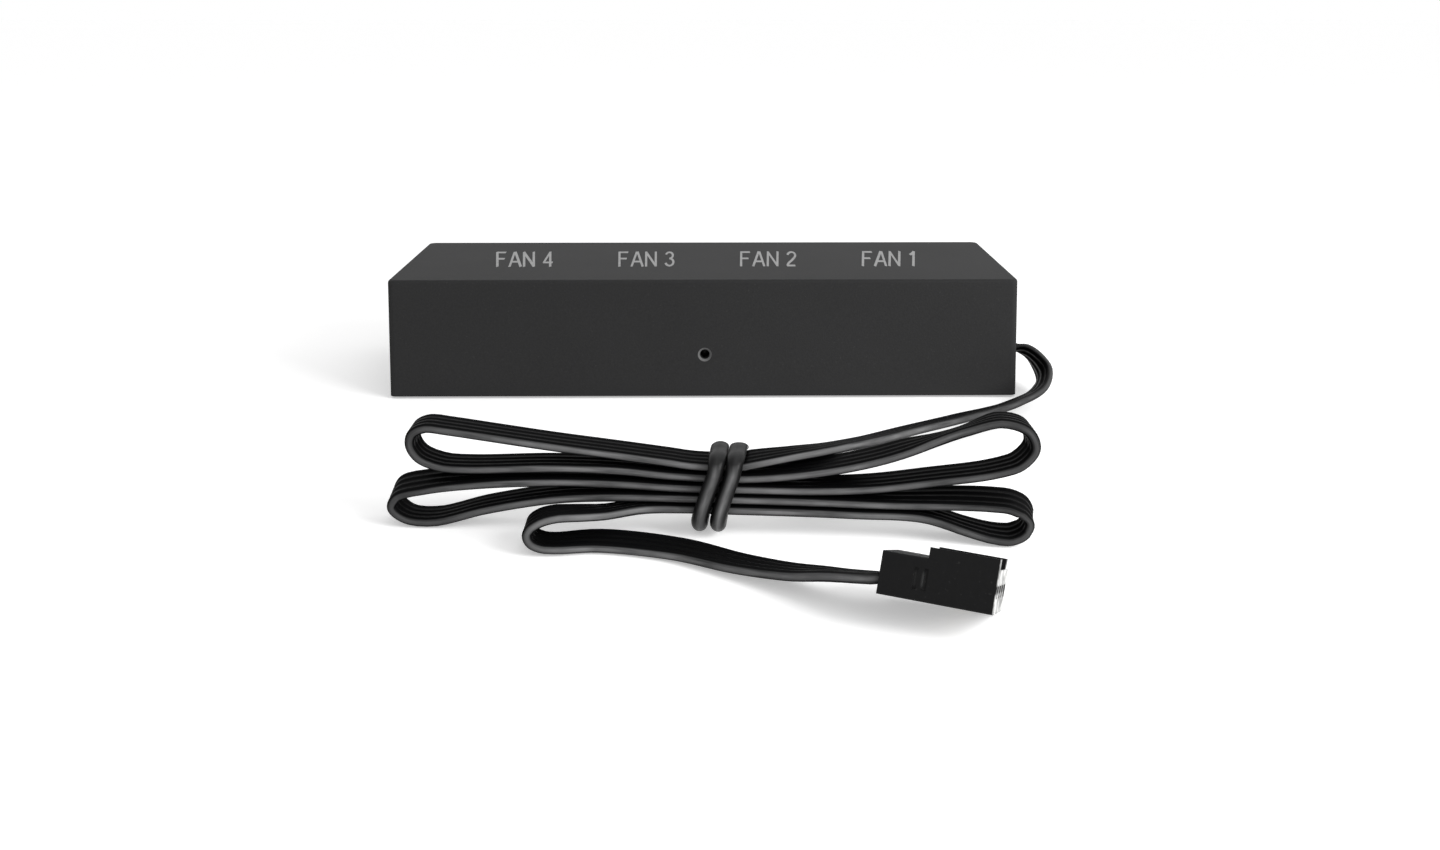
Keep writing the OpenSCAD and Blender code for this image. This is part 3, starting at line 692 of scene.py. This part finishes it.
@dataclass
class Sweep:
    """A cross-section carried along a route by extruding its edge ring."""

    route: list[list[float]]
    section: Line
    first_heading: Vector
    last_heading: Vector
    reference: Vector | None = None
    spread: Callable[[float, Sequence[float]], tuple[float, float]] = plain_section

    def frames(self) -> list[Matrix]:
        """Give the matrix that carries the section to each row of the route, in metres.

        Returns:
            A matrix for each row.
        """
        places = [Vector(row[:3]) for row in self.route]
        result = []
        for i, place in enumerate(places):
            if i == 0:
                heading = self.first_heading
            elif i == len(places) - 1:
                heading = self.last_heading
            else:
                heading = (places[i + 1] - places[i - 1]).normalized()
            lean, skew = (math.radians(angle) for angle in self.route[i][3:5])
            base = self.reference or Vector((math.sin(skew), math.cos(skew) * math.cos(lean), math.sin(lean)))
            side = (base - base.dot(heading) * heading).normalized()
            turned = Matrix((side, heading.cross(side), heading)).transposed().to_4x4()
            wide, deep = self.spread(i / (len(places) - 1), self.route[i])
            result.append(Matrix.Translation(place * MM) @ turned @ Matrix.Diagonal((wide * MM, deep * MM, MM, 1)))
        return result

    def build(self, name: str) -> tuple[bpy.types.Object, list[tuple[float, float, float]]]:
        """Extrude the ring along the route and close its ends.

        Args:
            name: The piece's name.

        Returns:
            The piece and its path in metres.
        """
        frames = self.frames()
        path = [frame.to_translation() for frame in frames]
        mesh = bmesh.new()
        uv = mesh.loops.layers.uv.new("along")
        across = mesh.verts.layers.float.new("across")
        along = mesh.verts.layers.float.new("run")
        ring = bmesh.ops.create_circle(mesh, cap_ends=False, radius=1.0, segments=len(self.section))["verts"]
        half = max(abs(w) for w, _ in self.section)
        for vert, (w, t) in zip(ring, self.section):
            vert.co = (w, t, 0)
            vert[across] = 0.5 + w / (2 * half)
        edges = list(mesh.edges)
        bmesh.ops.edgeloop_fill(mesh, edges=edges)
        bmesh.ops.transform(mesh, matrix=frames[0], verts=ring)
        span = 0.0
        for step in range(1, len(frames)):
            grown = bmesh.ops.extrude_edge_only(mesh, edges=edges)["geom"]
            fresh = {part for part in grown if isinstance(part, bmesh.types.BMVert)}
            edges = [part for part in grown if isinstance(part, bmesh.types.BMEdge) and set(part.verts) <= fresh]
            bmesh.ops.transform(mesh, matrix=frames[step] @ frames[step - 1].inverted(), verts=list(fresh))
            span += (path[step] - path[step - 1]).length
            for vert in fresh:
                vert[along] = span
        bmesh.ops.edgeloop_fill(mesh, edges=edges)
        for face in mesh.faces:
            for loop in face.loops:
                loop[uv].uv = (loop.vert[across], loop.vert[along])
        return new_piece(name, mesh), [tuple(place) for place in path]


@dataclass
class FlatCord:
    """The four-wire flat cord: out of the wall, into the folded hank and on to the plug.

    A row of run or tail is a place in millimetres, a lean and a skew; one of hank is what hank_row takes.
    """

    width: float = 5.0
    thickness: float = 1.2
    wires: int = 4
    valley: float = 50.0
    facets: int = 8
    spread: float = 8.7
    spread_from: float = 0.988
    step: float = 1.1
    turn_degrees: float = -4.57
    centre_y: float = -76.0
    run: list[Row] = field(default_factory=lambda: [
        (49.8, -9, 6, 0, 0), (51.4, -9.3, 5.9, -6, 0), (53, -10.9, 5.4, -16, 0), (54, -14.2, 4.6, -20, 0),
        (54, -18.5, 3.6, -19, 0), (51.8, -24, 2.6, -17, 0), (46.5, -30.5, 2.3, -17, 0), (36.5, -43, 3.9, -15, 0),
        (27.5, -55, 5.8, -15, 0), (20.5, -66, 7.8, -15, 0), (15.5, -72.2, 8.95, -14, 0), (11, -75.6, 9.4, -8, 0),
        (6, -76.5, 8.95, 0, 0)])
    hank: list[tuple[float, ...]] = field(default_factory=lambda: [
        (4.5, 8.62), (-1, 8.62), (-4, 9), (-10, 9.72), (-18, 10.65), (-26, 11.72), (-30, 12.25), (-33, 12.5),
        (-34.5, 11.7), (-34.8, 10.3), (-33.9, 8.8), (-31.4, 7.75), (-28, 7.55), (-18, 7.95), (-10, 7.85),
        (-3, 7.3), (6, 7.2), (14, 8.18), (20, 9.52), (24, 10.78, 0, -2), (27.5, 11.88, 0, -13),
        (30.5, 12.95, 0, -16), (34.5, 14.4, 0, -5), (37.5, 13.6), (38.4, 11.5), (37, 9.5), (34, 8.4),
        (27, 7.25), (20, 6.25), (13, 5.85), (6, 5.82), (-3, 5.85), (-10, 6.15), (-18, 6.2), (-27, 5.85, 0, 6),
        (-33.5, 5.15, 0, 12), (-36.8, 4.2, 0, 12), (-37.5, 2.5, 0, 6), (-36, 1.05), (-32.6, 0.75), (-26, 2.5),
        (-18, 4.0), (-12, 4.45), (-3, 4.55), (6, 4.52), (14, 4.45), (22, 4.42, 0, 3, 4),
        (30, 4.75, -0.2, 9, 8), (34, 4.8, -0.5, 10, 10), (36.4, 4.6, -0.7, 10, 10), (37.8, 3.9, -0.9, 10, 10),
        (38.35, 2.75, -1.15, 8, 10), (37.8, 1.6, -1.35, 6, 10), (36.4, 0.9, -1.5, 4, 10),
        (34.4, 0.95, -1.5, 2, 8), (31.5, 1.5, -1.1, 0, 4), (26, 2.85, -0.3), (18, 3.1, 0, 2), (12, 3.15),
        (4, 3.2)])
    tail: list[Row] = field(default_factory=lambda: [
        (-2.6, -75.8, 3.22, 0, 0), (-7, -76.3, 3.12, -6, 0), (-11, -78.2, 3.12, -10, 0),
        (-14.5, -80.6, 3.8, -8, 0), (-17, -81.7, 4.1, -5, 0), (-18.7, -82.2, 3.8, -2, 0),
        (-19.7, -82.4, 3.15, 0, 0), (-20, -82.5, 2.4, 0, 0), (-19.7, -82.6, 1.6, 0, 0),
        (-18.6, -82.6, 1.0, 0, 0), (-17, -82.6, 0.84, 0, 0), (-12, -81.9, 0.84, 3, 0), (-3, -84.4, 0.8, 0, 0),
        (4, -89.3, 1, -6, 0), (9.4, -93.6, 1.8, -12, 0), (14, -97.6, 3.1, -18, 0)])

    def hank_row(self, along: float, height: float, back: float = 0.0, lean: float = 0.0,
                 skew: float = 0.0) -> Row:
        """Give the route row of a point in the hank's plane.

        Args:
            along: The distance from the middle of the hank.
            height: The height above the floor.
            back: The distance behind the plane; a minus sign puts it in front.
            lean: How far the cord's back edge is raised, in degrees.
            skew: How far its back edge is turned along the hank, in degrees.

        Returns:
            The row in the part's frame.
        """
        angle = math.radians(self.turn_degrees)
        return (along * math.cos(angle) - back * math.sin(angle),
                self.centre_y + along * math.sin(angle) + back * math.cos(angle), height, lean, skew)

    def outline(self) -> Line:
        """Give the ribbed cross-section.

        Returns:
            Points across and through the cord, in millimetres.
        """
        radius = self.thickness / 2
        pitch = (self.width - self.thickness) / (self.wires - 1)
        upper: Line = []
        for i in range(self.wires):
            middle = (i - (self.wires - 1) / 2) * pitch
            start = 180.0 if i == 0 else 180.0 - self.valley
            stop = 0.0 if i == self.wires - 1 else self.valley
            fan = [math.radians(start + (stop - start) * k / self.facets) for k in range(self.facets + 1)]
            upper.extend((middle + radius * math.cos(a), radius * math.sin(a)) for a in fan)
        return upper + [(w, -t) for w, t in reversed(upper[1:-1])]

    def fan_out(self, share: float, _row: Sequence[float]) -> tuple[float, float]:
        """Give the section's scale across and through, which spreads to the plug's pitch at the end."""
        far = max(0.0, (share - self.spread_from) / (1 - self.spread_from))
        return 1 + (self.spread / self.width - 1) * far * far * (3 - 2 * far), 1.0

    def build(self, plug: "PlugPose", tie: bpy.types.Object) -> bpy.types.Object:
        """Args:
            plug: Where the plug lies, which gives the cord's end.
            tie: The tie that holds the hank; not used.

        Returns:
            The cord.
        """
        entry = plug.entry()
        rows = [*self.run, *[self.hank_row(*point) for point in self.hank], *self.tail, (*entry, plug.roll, 0)]
        route = smooth_route(rows, self.step)
        sweep = Sweep(route, self.outline(), Vector((1, 0, 0)), plug.heading(), spread=self.fan_out)
        cord, path = sweep.build("flat_cord")
        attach(cord, BODY)
        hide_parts("cord_run", "cord_hank", "cord_tail")
        return cord


@dataclass(frozen=True)
class PlugPose:
    """Where the plug lies, as in the part's source, in millimetres and degrees."""

    length: float = 11.6
    width: float = 10.2
    depth: float = 4.4
    roll: float = -21.0
    pitch: float = 3.5
    yaw: float = -19.0
    x: float = 24.6
    y: float = -102.0
    above_floor: float = 0.02
    entry_drop: float = 0.8

    def heading(self) -> Vector:
        """Give the direction from the cord's end to the plug's mouth."""
        return turn(self.roll, self.pitch, self.yaw) @ Vector((1, 0, 0))

    def centre(self) -> Vector:
        """Give the middle of the plug, whose lowest corner is on the floor.

        Returns:
            The place in millimetres.
        """
        pitch, roll = math.radians(self.pitch), math.radians(-self.roll)
        lift = self.width / 2 * math.sin(roll) + self.depth / 2 * math.cos(roll)
        height = self.length / 2 * math.sin(pitch) + math.cos(pitch) * lift + self.above_floor
        return Vector((self.x, self.y, height))

    def entry(self) -> Vector:
        """Give the point where the cord enters the plug, in millimetres."""
        up = turn(self.roll, self.pitch, self.yaw) @ Vector((0, 0, 1))
        return self.centre() - self.heading() * self.length / 2 - up * self.entry_drop


@dataclass
class HankTie:
    """The soft round tie that is wound twice round the hank, in millimetres and degrees."""

    radius: float = 0.95
    facets: int = 18
    side: float = 3.5
    top: float = 9.78
    low: float = 1.66
    corner: float = 0.9
    pressed: float = 0.45
    widened: float = 0.15
    step: float = 0.6
    bend: float = 9.0
    end_round: float = 0.3
    end_facets: int = 3
    end_angle: float = 60.0

    def press(self, _share: float, row: Sequence[float]) -> tuple[float, float]:
        """Give the section's scale, which is flatter where a row's fourth number is nearer one."""
        return 1 + self.widened * row[3], 1 - self.pressed * row[3]

    def turns(self) -> list[tuple[float, float, float, float]]:
        """Give the two turns in the hank's frame.

        Returns:
            Points along, across and above the hank, each with how far the tie is pressed there.
        """
        s, t, b, i = self.side, self.top, self.low, self.corner
        mid = (t + b) / 2
        return [(4.3, 3.0, t - 0.35, 1), (4.2, 2.2, t, 1), (4.15, 0, t, 1), (4.1, -2.1, t, 1),
                (4.0, -3.05, t - 0.5, 0.4), (3.85, -s, t - 1.5, 0), (3.0, -s, mid, 0), (2.1, -s, b + i, 0),
                (2.05, i - s, b, 0), (2.0, s - i, b, 0), (1.95, s, b + i, 0), (1.95, s, mid, 0),
                (1.95, s, t - 1.4, 0), (1.95, 3.0, t - 0.4, 0.5), (1.95, 2.1, t, 1), (1.95, 0, t, 1),
                (1.95, -2.1, t, 1), (1.9, -3.05, t - 0.5, 0.4), (1.75, -s, t - 1.5, 0), (0.85, -s, mid, 0),
                (-0.1, -s, b + i, 0), (-0.15, i - s, b, 0), (-0.2, s - i, b, 0), (-0.25, s, b + i, 0),
                (-0.25, s, mid + 1.2, 0)]

    def build(self, cord: FlatCord) -> bpy.types.Object:
        """Sweep the tie round the hank.

        Args:
            cord: The cord, whose hank frame the tie lies in.

        Returns:
            The tie.
        """
        angle = math.radians(cord.turn_degrees)
        place = Matrix.Translation((0, cord.centre_y, 0)) @ Matrix.Rotation(angle, 4, "Z")
        rows = [(*(place @ Vector(point[:3])), float(point[3]), 0.0) for point in self.turns()]
        route = smooth_route(rows, self.step, self.bend)
        start = (Vector(rows[1][:3]) - Vector(rows[0][:3])).normalized()
        angles = [math.radians(360 * k / self.facets) for k in range(self.facets)]
        section = [(self.radius * math.cos(a), self.radius * math.sin(a)) for a in angles]
        across = Vector((math.cos(angle), math.sin(angle), 0))
        tie, _ = Sweep(route, section, start, Vector((0, 0, 1)), across, self.press).build("hank_tie")
        bevel = tie.modifiers.new("soft_ends", "BEVEL")
        bevel.width = self.end_round * MM
        bevel.segments = self.end_facets
        bevel.limit_method = "ANGLE"
        bevel.angle_limit = math.radians(self.end_angle)
        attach(tie, BODY)
        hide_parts("cord_tie")
        return tie


def arc_points(x: float, y: float, wide: float, high: float, start: float, stop: float, count: int = 10) -> Line:
    """Give points along part of an ellipse.

    Args:
        x: The middle, across.
        y: The middle, up.
        wide: Half its width.
        high: Half its height.
        start: The first angle, in degrees.
        stop: The last angle, in degrees.
        count: The number of steps.

    Returns:
        The points, in order.
    """
    angles = [math.radians(start + (stop - start) * i / count) for i in range(count + 1)]
    return [(x + wide * math.cos(a), y + high * math.sin(a)) for a in angles]


# The width of each letter and digit, and the centre lines of its strokes, in cap heights.
GLYPHS: dict[str, tuple[float, list[Line]]] = {
    "F": (0.56, [[(0, 0), (0, 1)], [(0, 0.955), (0.56, 0.955)], [(0, 0.52), (0.47, 0.52)]]),
    "A": (0.72, [[(0, 0), (0.34, 1)], [(0.38, 1), (0.72, 0)], [(0.13, 0.32), (0.59, 0.32)]]),
    "N": (0.62, [[(0, 0), (0, 1)], [(0, 0.96), (0.62, 0.04)], [(0.62, 0), (0.62, 1)]]),
    "1": (0.42, [[(0.3, 0), (0.3, 1)], [(0.3, 0.96), (0.2, 0.84), (0.06, 0.75)]]),
    "2": (0.54, [[*arc_points(0.27, 0.72, 0.25, 0.235, 170, -35), (0.3, 0.38), (0.1, 0.2), (0.03, 0.045)],
                 [(0, 0.045), (0.54, 0.045)]]),
    "3": (0.54, [arc_points(0.26, 0.74, 0.22, 0.215, 165, -90), arc_points(0.26, 0.285, 0.26, 0.24, 90, -165)]),
    "4": (0.6, [[(0.44, 0), (0.44, 1)], [(0.44, 0.96), (0.02, 0.27)], [(0, 0.27), (0.6, 0.27)]]),
}


@dataclass
class PortLabels:
    """The printed names along the back edge of the roof, drawn as plain strokes, in millimetres."""

    centres: list[tuple[str, float]] = field(default_factory=lambda: [
        ("FAN 4", -30.1), ("FAN 3", -9.6), ("FAN 2", 10.95), ("FAN 1", 31.4)])
    roof: float = 19.0
    middle_y: float = 0.8
    cap_height: float = 14.1
    letter_size: float = 2.62
    stroke: float = 0.36
    stroke_up: float = 1.5
    splay: float = 0.0041
    letter_gap: float = 0.22
    word_gap: float = 0.4
    ink: float = 0.015
    sunk: float = 0.05
    layer_step: float = 0.0004

    def strokes(self, text: str) -> tuple[float, list[Line]]:
        """Lay out a text as centre lines in cap heights.

        Args:
            text: The letters and spaces.

        Returns:
            The text's width and its centre lines.
        """
        at = 0.0
        lines: list[Line] = []
        for letter in text:
            if letter == " ":
                at += self.word_gap
                continue
            wide, parts = GLYPHS[letter]
            lines.extend([(at + x, y) for x, y in part] for part in parts)
            at += wide + self.letter_gap
        return at - self.letter_gap, lines

    def draw(self, mesh: bmesh.types.BMesh, line: Line, middle: tuple[float, float], level: float) -> None:
        """Draw one stroke as a thin closed ribbon along its centre line.

        Args:
            mesh: The label's bmesh.
            line: The centre line, in millimetres.
            middle: Where the label's middle lies, in millimetres.
            level: The height of the stroke's top, in millimetres.
        """
        first = [mesh.verts.new((x, y, 0)) for x, y in line]
        edges = [mesh.edges.new(pair) for pair in zip(first, first[1:])]
        grown = bmesh.ops.extrude_edge_only(mesh, edges=edges)["geom"]
        second = [part for part in grown if isinstance(part, bmesh.types.BMVert)]
        squeeze = self.stroke / self.stroke_up
        for i, vert in enumerate(first):
            before, after = line[max(i - 1, 0)], line[min(i + 1, len(line) - 1)]
            run = Vector((after[0] - before[0], (after[1] - before[1]) * squeeze)).normalized()
            partner = min(second, key=lambda other: (other.co - vert.co).length)
            second.remove(partner)
            offset = Vector((-run.y * self.stroke / 2, run.x * self.stroke_up / 2, 0))
            partner.co = vert.co - offset
            vert.co = vert.co + offset
            for side in (vert, partner):
                side.co = (Vector((middle[0], middle[1], level)) + side.co) * MM
        faces = list({face for vert in first for face in vert.link_faces})
        sunk = bmesh.ops.extrude_face_region(mesh, geom=faces, use_keep_orig=True)["geom"]
        bmesh.ops.translate(mesh, vec=(0, 0, -self.sunk * MM),
                            verts=[part for part in sunk if isinstance(part, bmesh.types.BMVert)])

    def build(self, finish: bpy.types.Material) -> None:
        """Make each label a very thin mesh on the roof.

        Args:
            finish: The ink.
        """
        for text, x in self.centres:
            wide, lines = self.strokes(text)
            mesh = bmesh.new()
            for layer, line in enumerate(lines):
                placed = [((px - wide / 2) * self.letter_size, (py - 0.5) * self.cap_height) for px, py in line]
                placed = [(px + (x + px) * self.splay * py, py) for px, py in placed]
                self.draw(mesh, placed, (x, self.middle_y), self.roof + self.ink + layer * self.layer_step)
            piece = new_piece(f"label_{text.lower().replace(' ', '_')}", mesh, smooth=False)
            piece.data.materials.append(finish)
            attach(piece, BODY)
            log.info("built %s", piece.name)


@dataclass(frozen=True)
class Lamp:
    """A soft lamp that faces the object: a square panel near it, or a distant one where the side is 0."""

    name: str
    place: tuple[float, float, float]
    power: float
    spread: float = 0.0
    side: float = 0.0

    def add(self) -> None:
        """Add the lamp, with its place and side in metres and its spread in degrees."""
        data = bpy.data.lights.new(self.name, "AREA" if self.side else "SUN")
        data.energy = self.power
        lamp = bpy.data.objects.new(self.name, data)
        if self.side:
            data.size = self.side
            lamp.location = self.place
        else:
            data.angle = math.radians(self.spread)
        lamp.rotation_euler = Vector(self.place).to_track_quat("Z", "Y").to_euler()
        bpy.context.scene.collection.objects.link(lamp)


@dataclass
class Stage:
    """The floor, the lamps and the camera."""

    camera_place: tuple[float, float, float] = (0.6, -233.6, 61.0)
    camera_down: float = 16.93
    camera_right: float = 0.535
    lens: float = 35.0
    sensor: float = 36.0
    nearest: float = 0.01
    fill: float = 0.4
    lift: float = 0.4
    floor_size: float = 4.0
    floor_drop: float = 0.00002
    floor_colour: Colour = (0.93, 0.93, 0.93)
    floor_roughness: float = 0.9
    lamps: tuple[Lamp, ...] = (Lamp("key", (0.8, 0.15, 1.0), 0.6, spread=70.0),
                               Lamp("front", (0.25, -1.0, 0.75), 0.5, spread=60.0),
                               Lamp("side", (0.24, -0.22, 0.14), 0.9, side=0.16))

    def add_camera(self) -> None:
        """Set the camera at the photograph's angle."""
        data = bpy.data.cameras.new("camera")
        data.lens = self.lens
        data.sensor_width = self.sensor
        data.clip_start = self.nearest
        camera = bpy.data.objects.new("camera", data)
        camera.location = [v * MM for v in self.camera_place]
        camera.rotation_euler = (math.radians(90 - self.camera_down), 0, -math.radians(self.camera_right))
        bpy.context.scene.collection.objects.link(camera)
        bpy.context.scene.camera = camera

    def add_floor(self) -> None:
        """Lay a plain pale floor, lifted to white where it is seen."""
        mesh = bmesh.new()
        bmesh.ops.create_grid(mesh, x_segments=1, y_segments=1, size=self.floor_size)
        bmesh.ops.translate(mesh, vec=(0, 0, -self.floor_drop), verts=mesh.verts)
        floor = new_piece("floor", mesh, smooth=False)
        material, sheet, skin = start_material("floor_white")
        for name, value in (("Base Color", (*self.floor_colour, 1)), ("Roughness", self.floor_roughness),
                            ("Specular IOR Level", 0.0), ("Emission Color", (1, 1, 1, 1))):
            skin.inputs[name].default_value = value
        sheet.feed(sheet.maths("MULTIPLY", self.shown(sheet), self.lift), skin.inputs["Emission Strength"])
        floor.data.materials.append(material)

    @staticmethod
    def shown(sheet: NodeSheet) -> Socket:
        """Give 1 where the background is seen, straight on or in metal and glass, and 0 where it only lights.

        Args:
            sheet: The node helper of the floor or the world.

        Returns:
            The share's socket.
        """
        path = sheet.add("ShaderNodeLightPath")
        seen = sheet.maths("MAXIMUM", path.outputs["Is Camera Ray"], path.outputs["Is Transmission Ray"])
        return sheet.maths("MAXIMUM", seen, path.outputs["Is Glossy Ray"])

    def add_world(self) -> None:
        """Give the world a soft fill that shows as white."""
        world = bpy.data.worlds.new("studio")
        bpy.context.scene.world = world
        world.use_nodes = True
        sheet = NodeSheet(world.node_tree)
        back = world.node_tree.nodes["Background"]
        back.inputs["Color"].default_value = (1, 1, 1, 1)
        sheet.feed(sheet.span(self.shown(sheet), 0.0, 1.0, self.fill, 1.0), back.inputs["Strength"])

    def build(self) -> None:
        """Build the stage, the camera first."""
        self.add_camera()
        self.add_floor()
        self.add_world()
        for lamp in self.lamps:
            lamp.add()
        bpy.context.scene.view_settings.view_transform = "Standard"


class Dressing(Enum):
    """Which CAD nodes take a finish together."""

    CASE = ("top_cover", "base_plate")
    BOARD = ("circuit_board",)
    HEADER = ("fan_header_1", "fan_header_2", "fan_header_3", "fan_header_4", "cord_clamp")
    PINS = ("header_pins_1", "header_pins_2", "header_pins_3", "header_pins_4", "plug_contacts")
    LENS = ("status_light",)
    CHIP = ("controller_chip", "chip_resistors")
    CAN = ("filter_capacitor",)
    STEEL = ("board_screws", "case_screws", "clamp_screws")
    LEADS = ("cord_leads",)
    FOAM = ("mounting_pad",)
    PLUG = ("plug_housing",)


PLUG = PlugPose()
CORD_SKIN = CordFinish()
# The tie has the same painted highlight, in a narrow band down the middle of its outer face, fading out towards its
# top.
TIE_RUBBER = CordFinish("tie_rubber", (0.006, 0.006, 0.0062), roughness=0.3, specular=0.1, painted_highlight=(0.34, 0.02),
                        waves=(3.0, 260.0), fading=(0.0082, 0.0095))
FINISHES: dict[Dressing, MouldedFinish | MetalFinish] = {
    Dressing.CASE: CaseFinish("case_plastic", (0.0235, 0.0235, 0.0239), 0.62, grain=0.00028, cloud=0.2, dust=0.02,
                              specular=0.075),
    Dressing.BOARD: MouldedFinish("board_mask", (0.01, 0.09, 0.04), 0.35, grain=0.0006, depth=0.00001),
    Dressing.HEADER: MouldedFinish("header_plastic", (0.02, 0.02, 0.02), 0.4, grain=0.0004, depth=0.00001),
    Dressing.PINS: MetalFinish("pin_plating", (0.85, 0.72, 0.42), (0.6, 0.52, 0.36), 0.22),
    Dressing.LENS: MouldedFinish("lamp_lens", (0.006, 0.006, 0.006), 0.3, grain=0.001, depth=0.000005, cloud=0.1,
                                 dust=0.0, specular=0.1),
    Dressing.CHIP: MouldedFinish("chip_package", (0.02, 0.02, 0.02), 0.5, grain=0.0002, depth=0.00001),
    Dressing.CAN: MetalFinish("can_metal", (0.75, 0.75, 0.76), (0.5, 0.5, 0.5), 0.3),
    Dressing.STEEL: MetalFinish("screw_zinc", (0.62, 0.62, 0.63), (0.42, 0.41, 0.4), 0.28),
    Dressing.LEADS: MouldedFinish("lead_skin", (0.01, 0.01, 0.01), 0.35, grain=0.0006, depth=0.00001),
    Dressing.FOAM: MouldedFinish("pad_foam", (0.03, 0.03, 0.03), 0.9, grain=0.0006, depth=0.00012, cloud=0.4),
    Dressing.PLUG: PlugFinish("plug_plastic", (0.0065, 0.0065, 0.0067), 0.4, grain=0.0005, depth=0.00002, cloud=0.3,
                              dust=0.03, specular=0.08, middle=tuple(PLUG.centre()),
                              turned=(PLUG.roll, PLUG.pitch, PLUG.yaw)),
}


def dress_nodes(shop: Finishes) -> None:
    """Give every CAD node that stays its finish.

    Args:
        shop: The shared node groups.
    """
    for dressing, finish in FINISHES.items():
        material = finish.make(shop)
        for name in dressing.value:
            node = bpy.data.objects[name]
            node.data.materials.clear()
            node.data.materials.append(material)
            log.info("dressed %s with %s", name, material.name)


def main() -> None:
    """Build the stage, the pieces and their finishes, in order."""
    logging.basicConfig(level=logging.INFO, format="%(message)s")
    Stage().build()
    shop = Finishes()
    cord_maker = FlatCord()
    tie = HankTie().build(cord_maker)
    tie.data.materials.append(TIE_RUBBER.make(shop))
    log.info("built %s", tie.name)
    cord = cord_maker.build(PLUG, tie)
    cord.data.materials.append(CORD_SKIN.make(shop))
    log.info("built %s", cord.name)
    PortLabels().build(PrintFinish().make(shop))
    dress_nodes(shop)


if __name__ == "__main__":
    main()
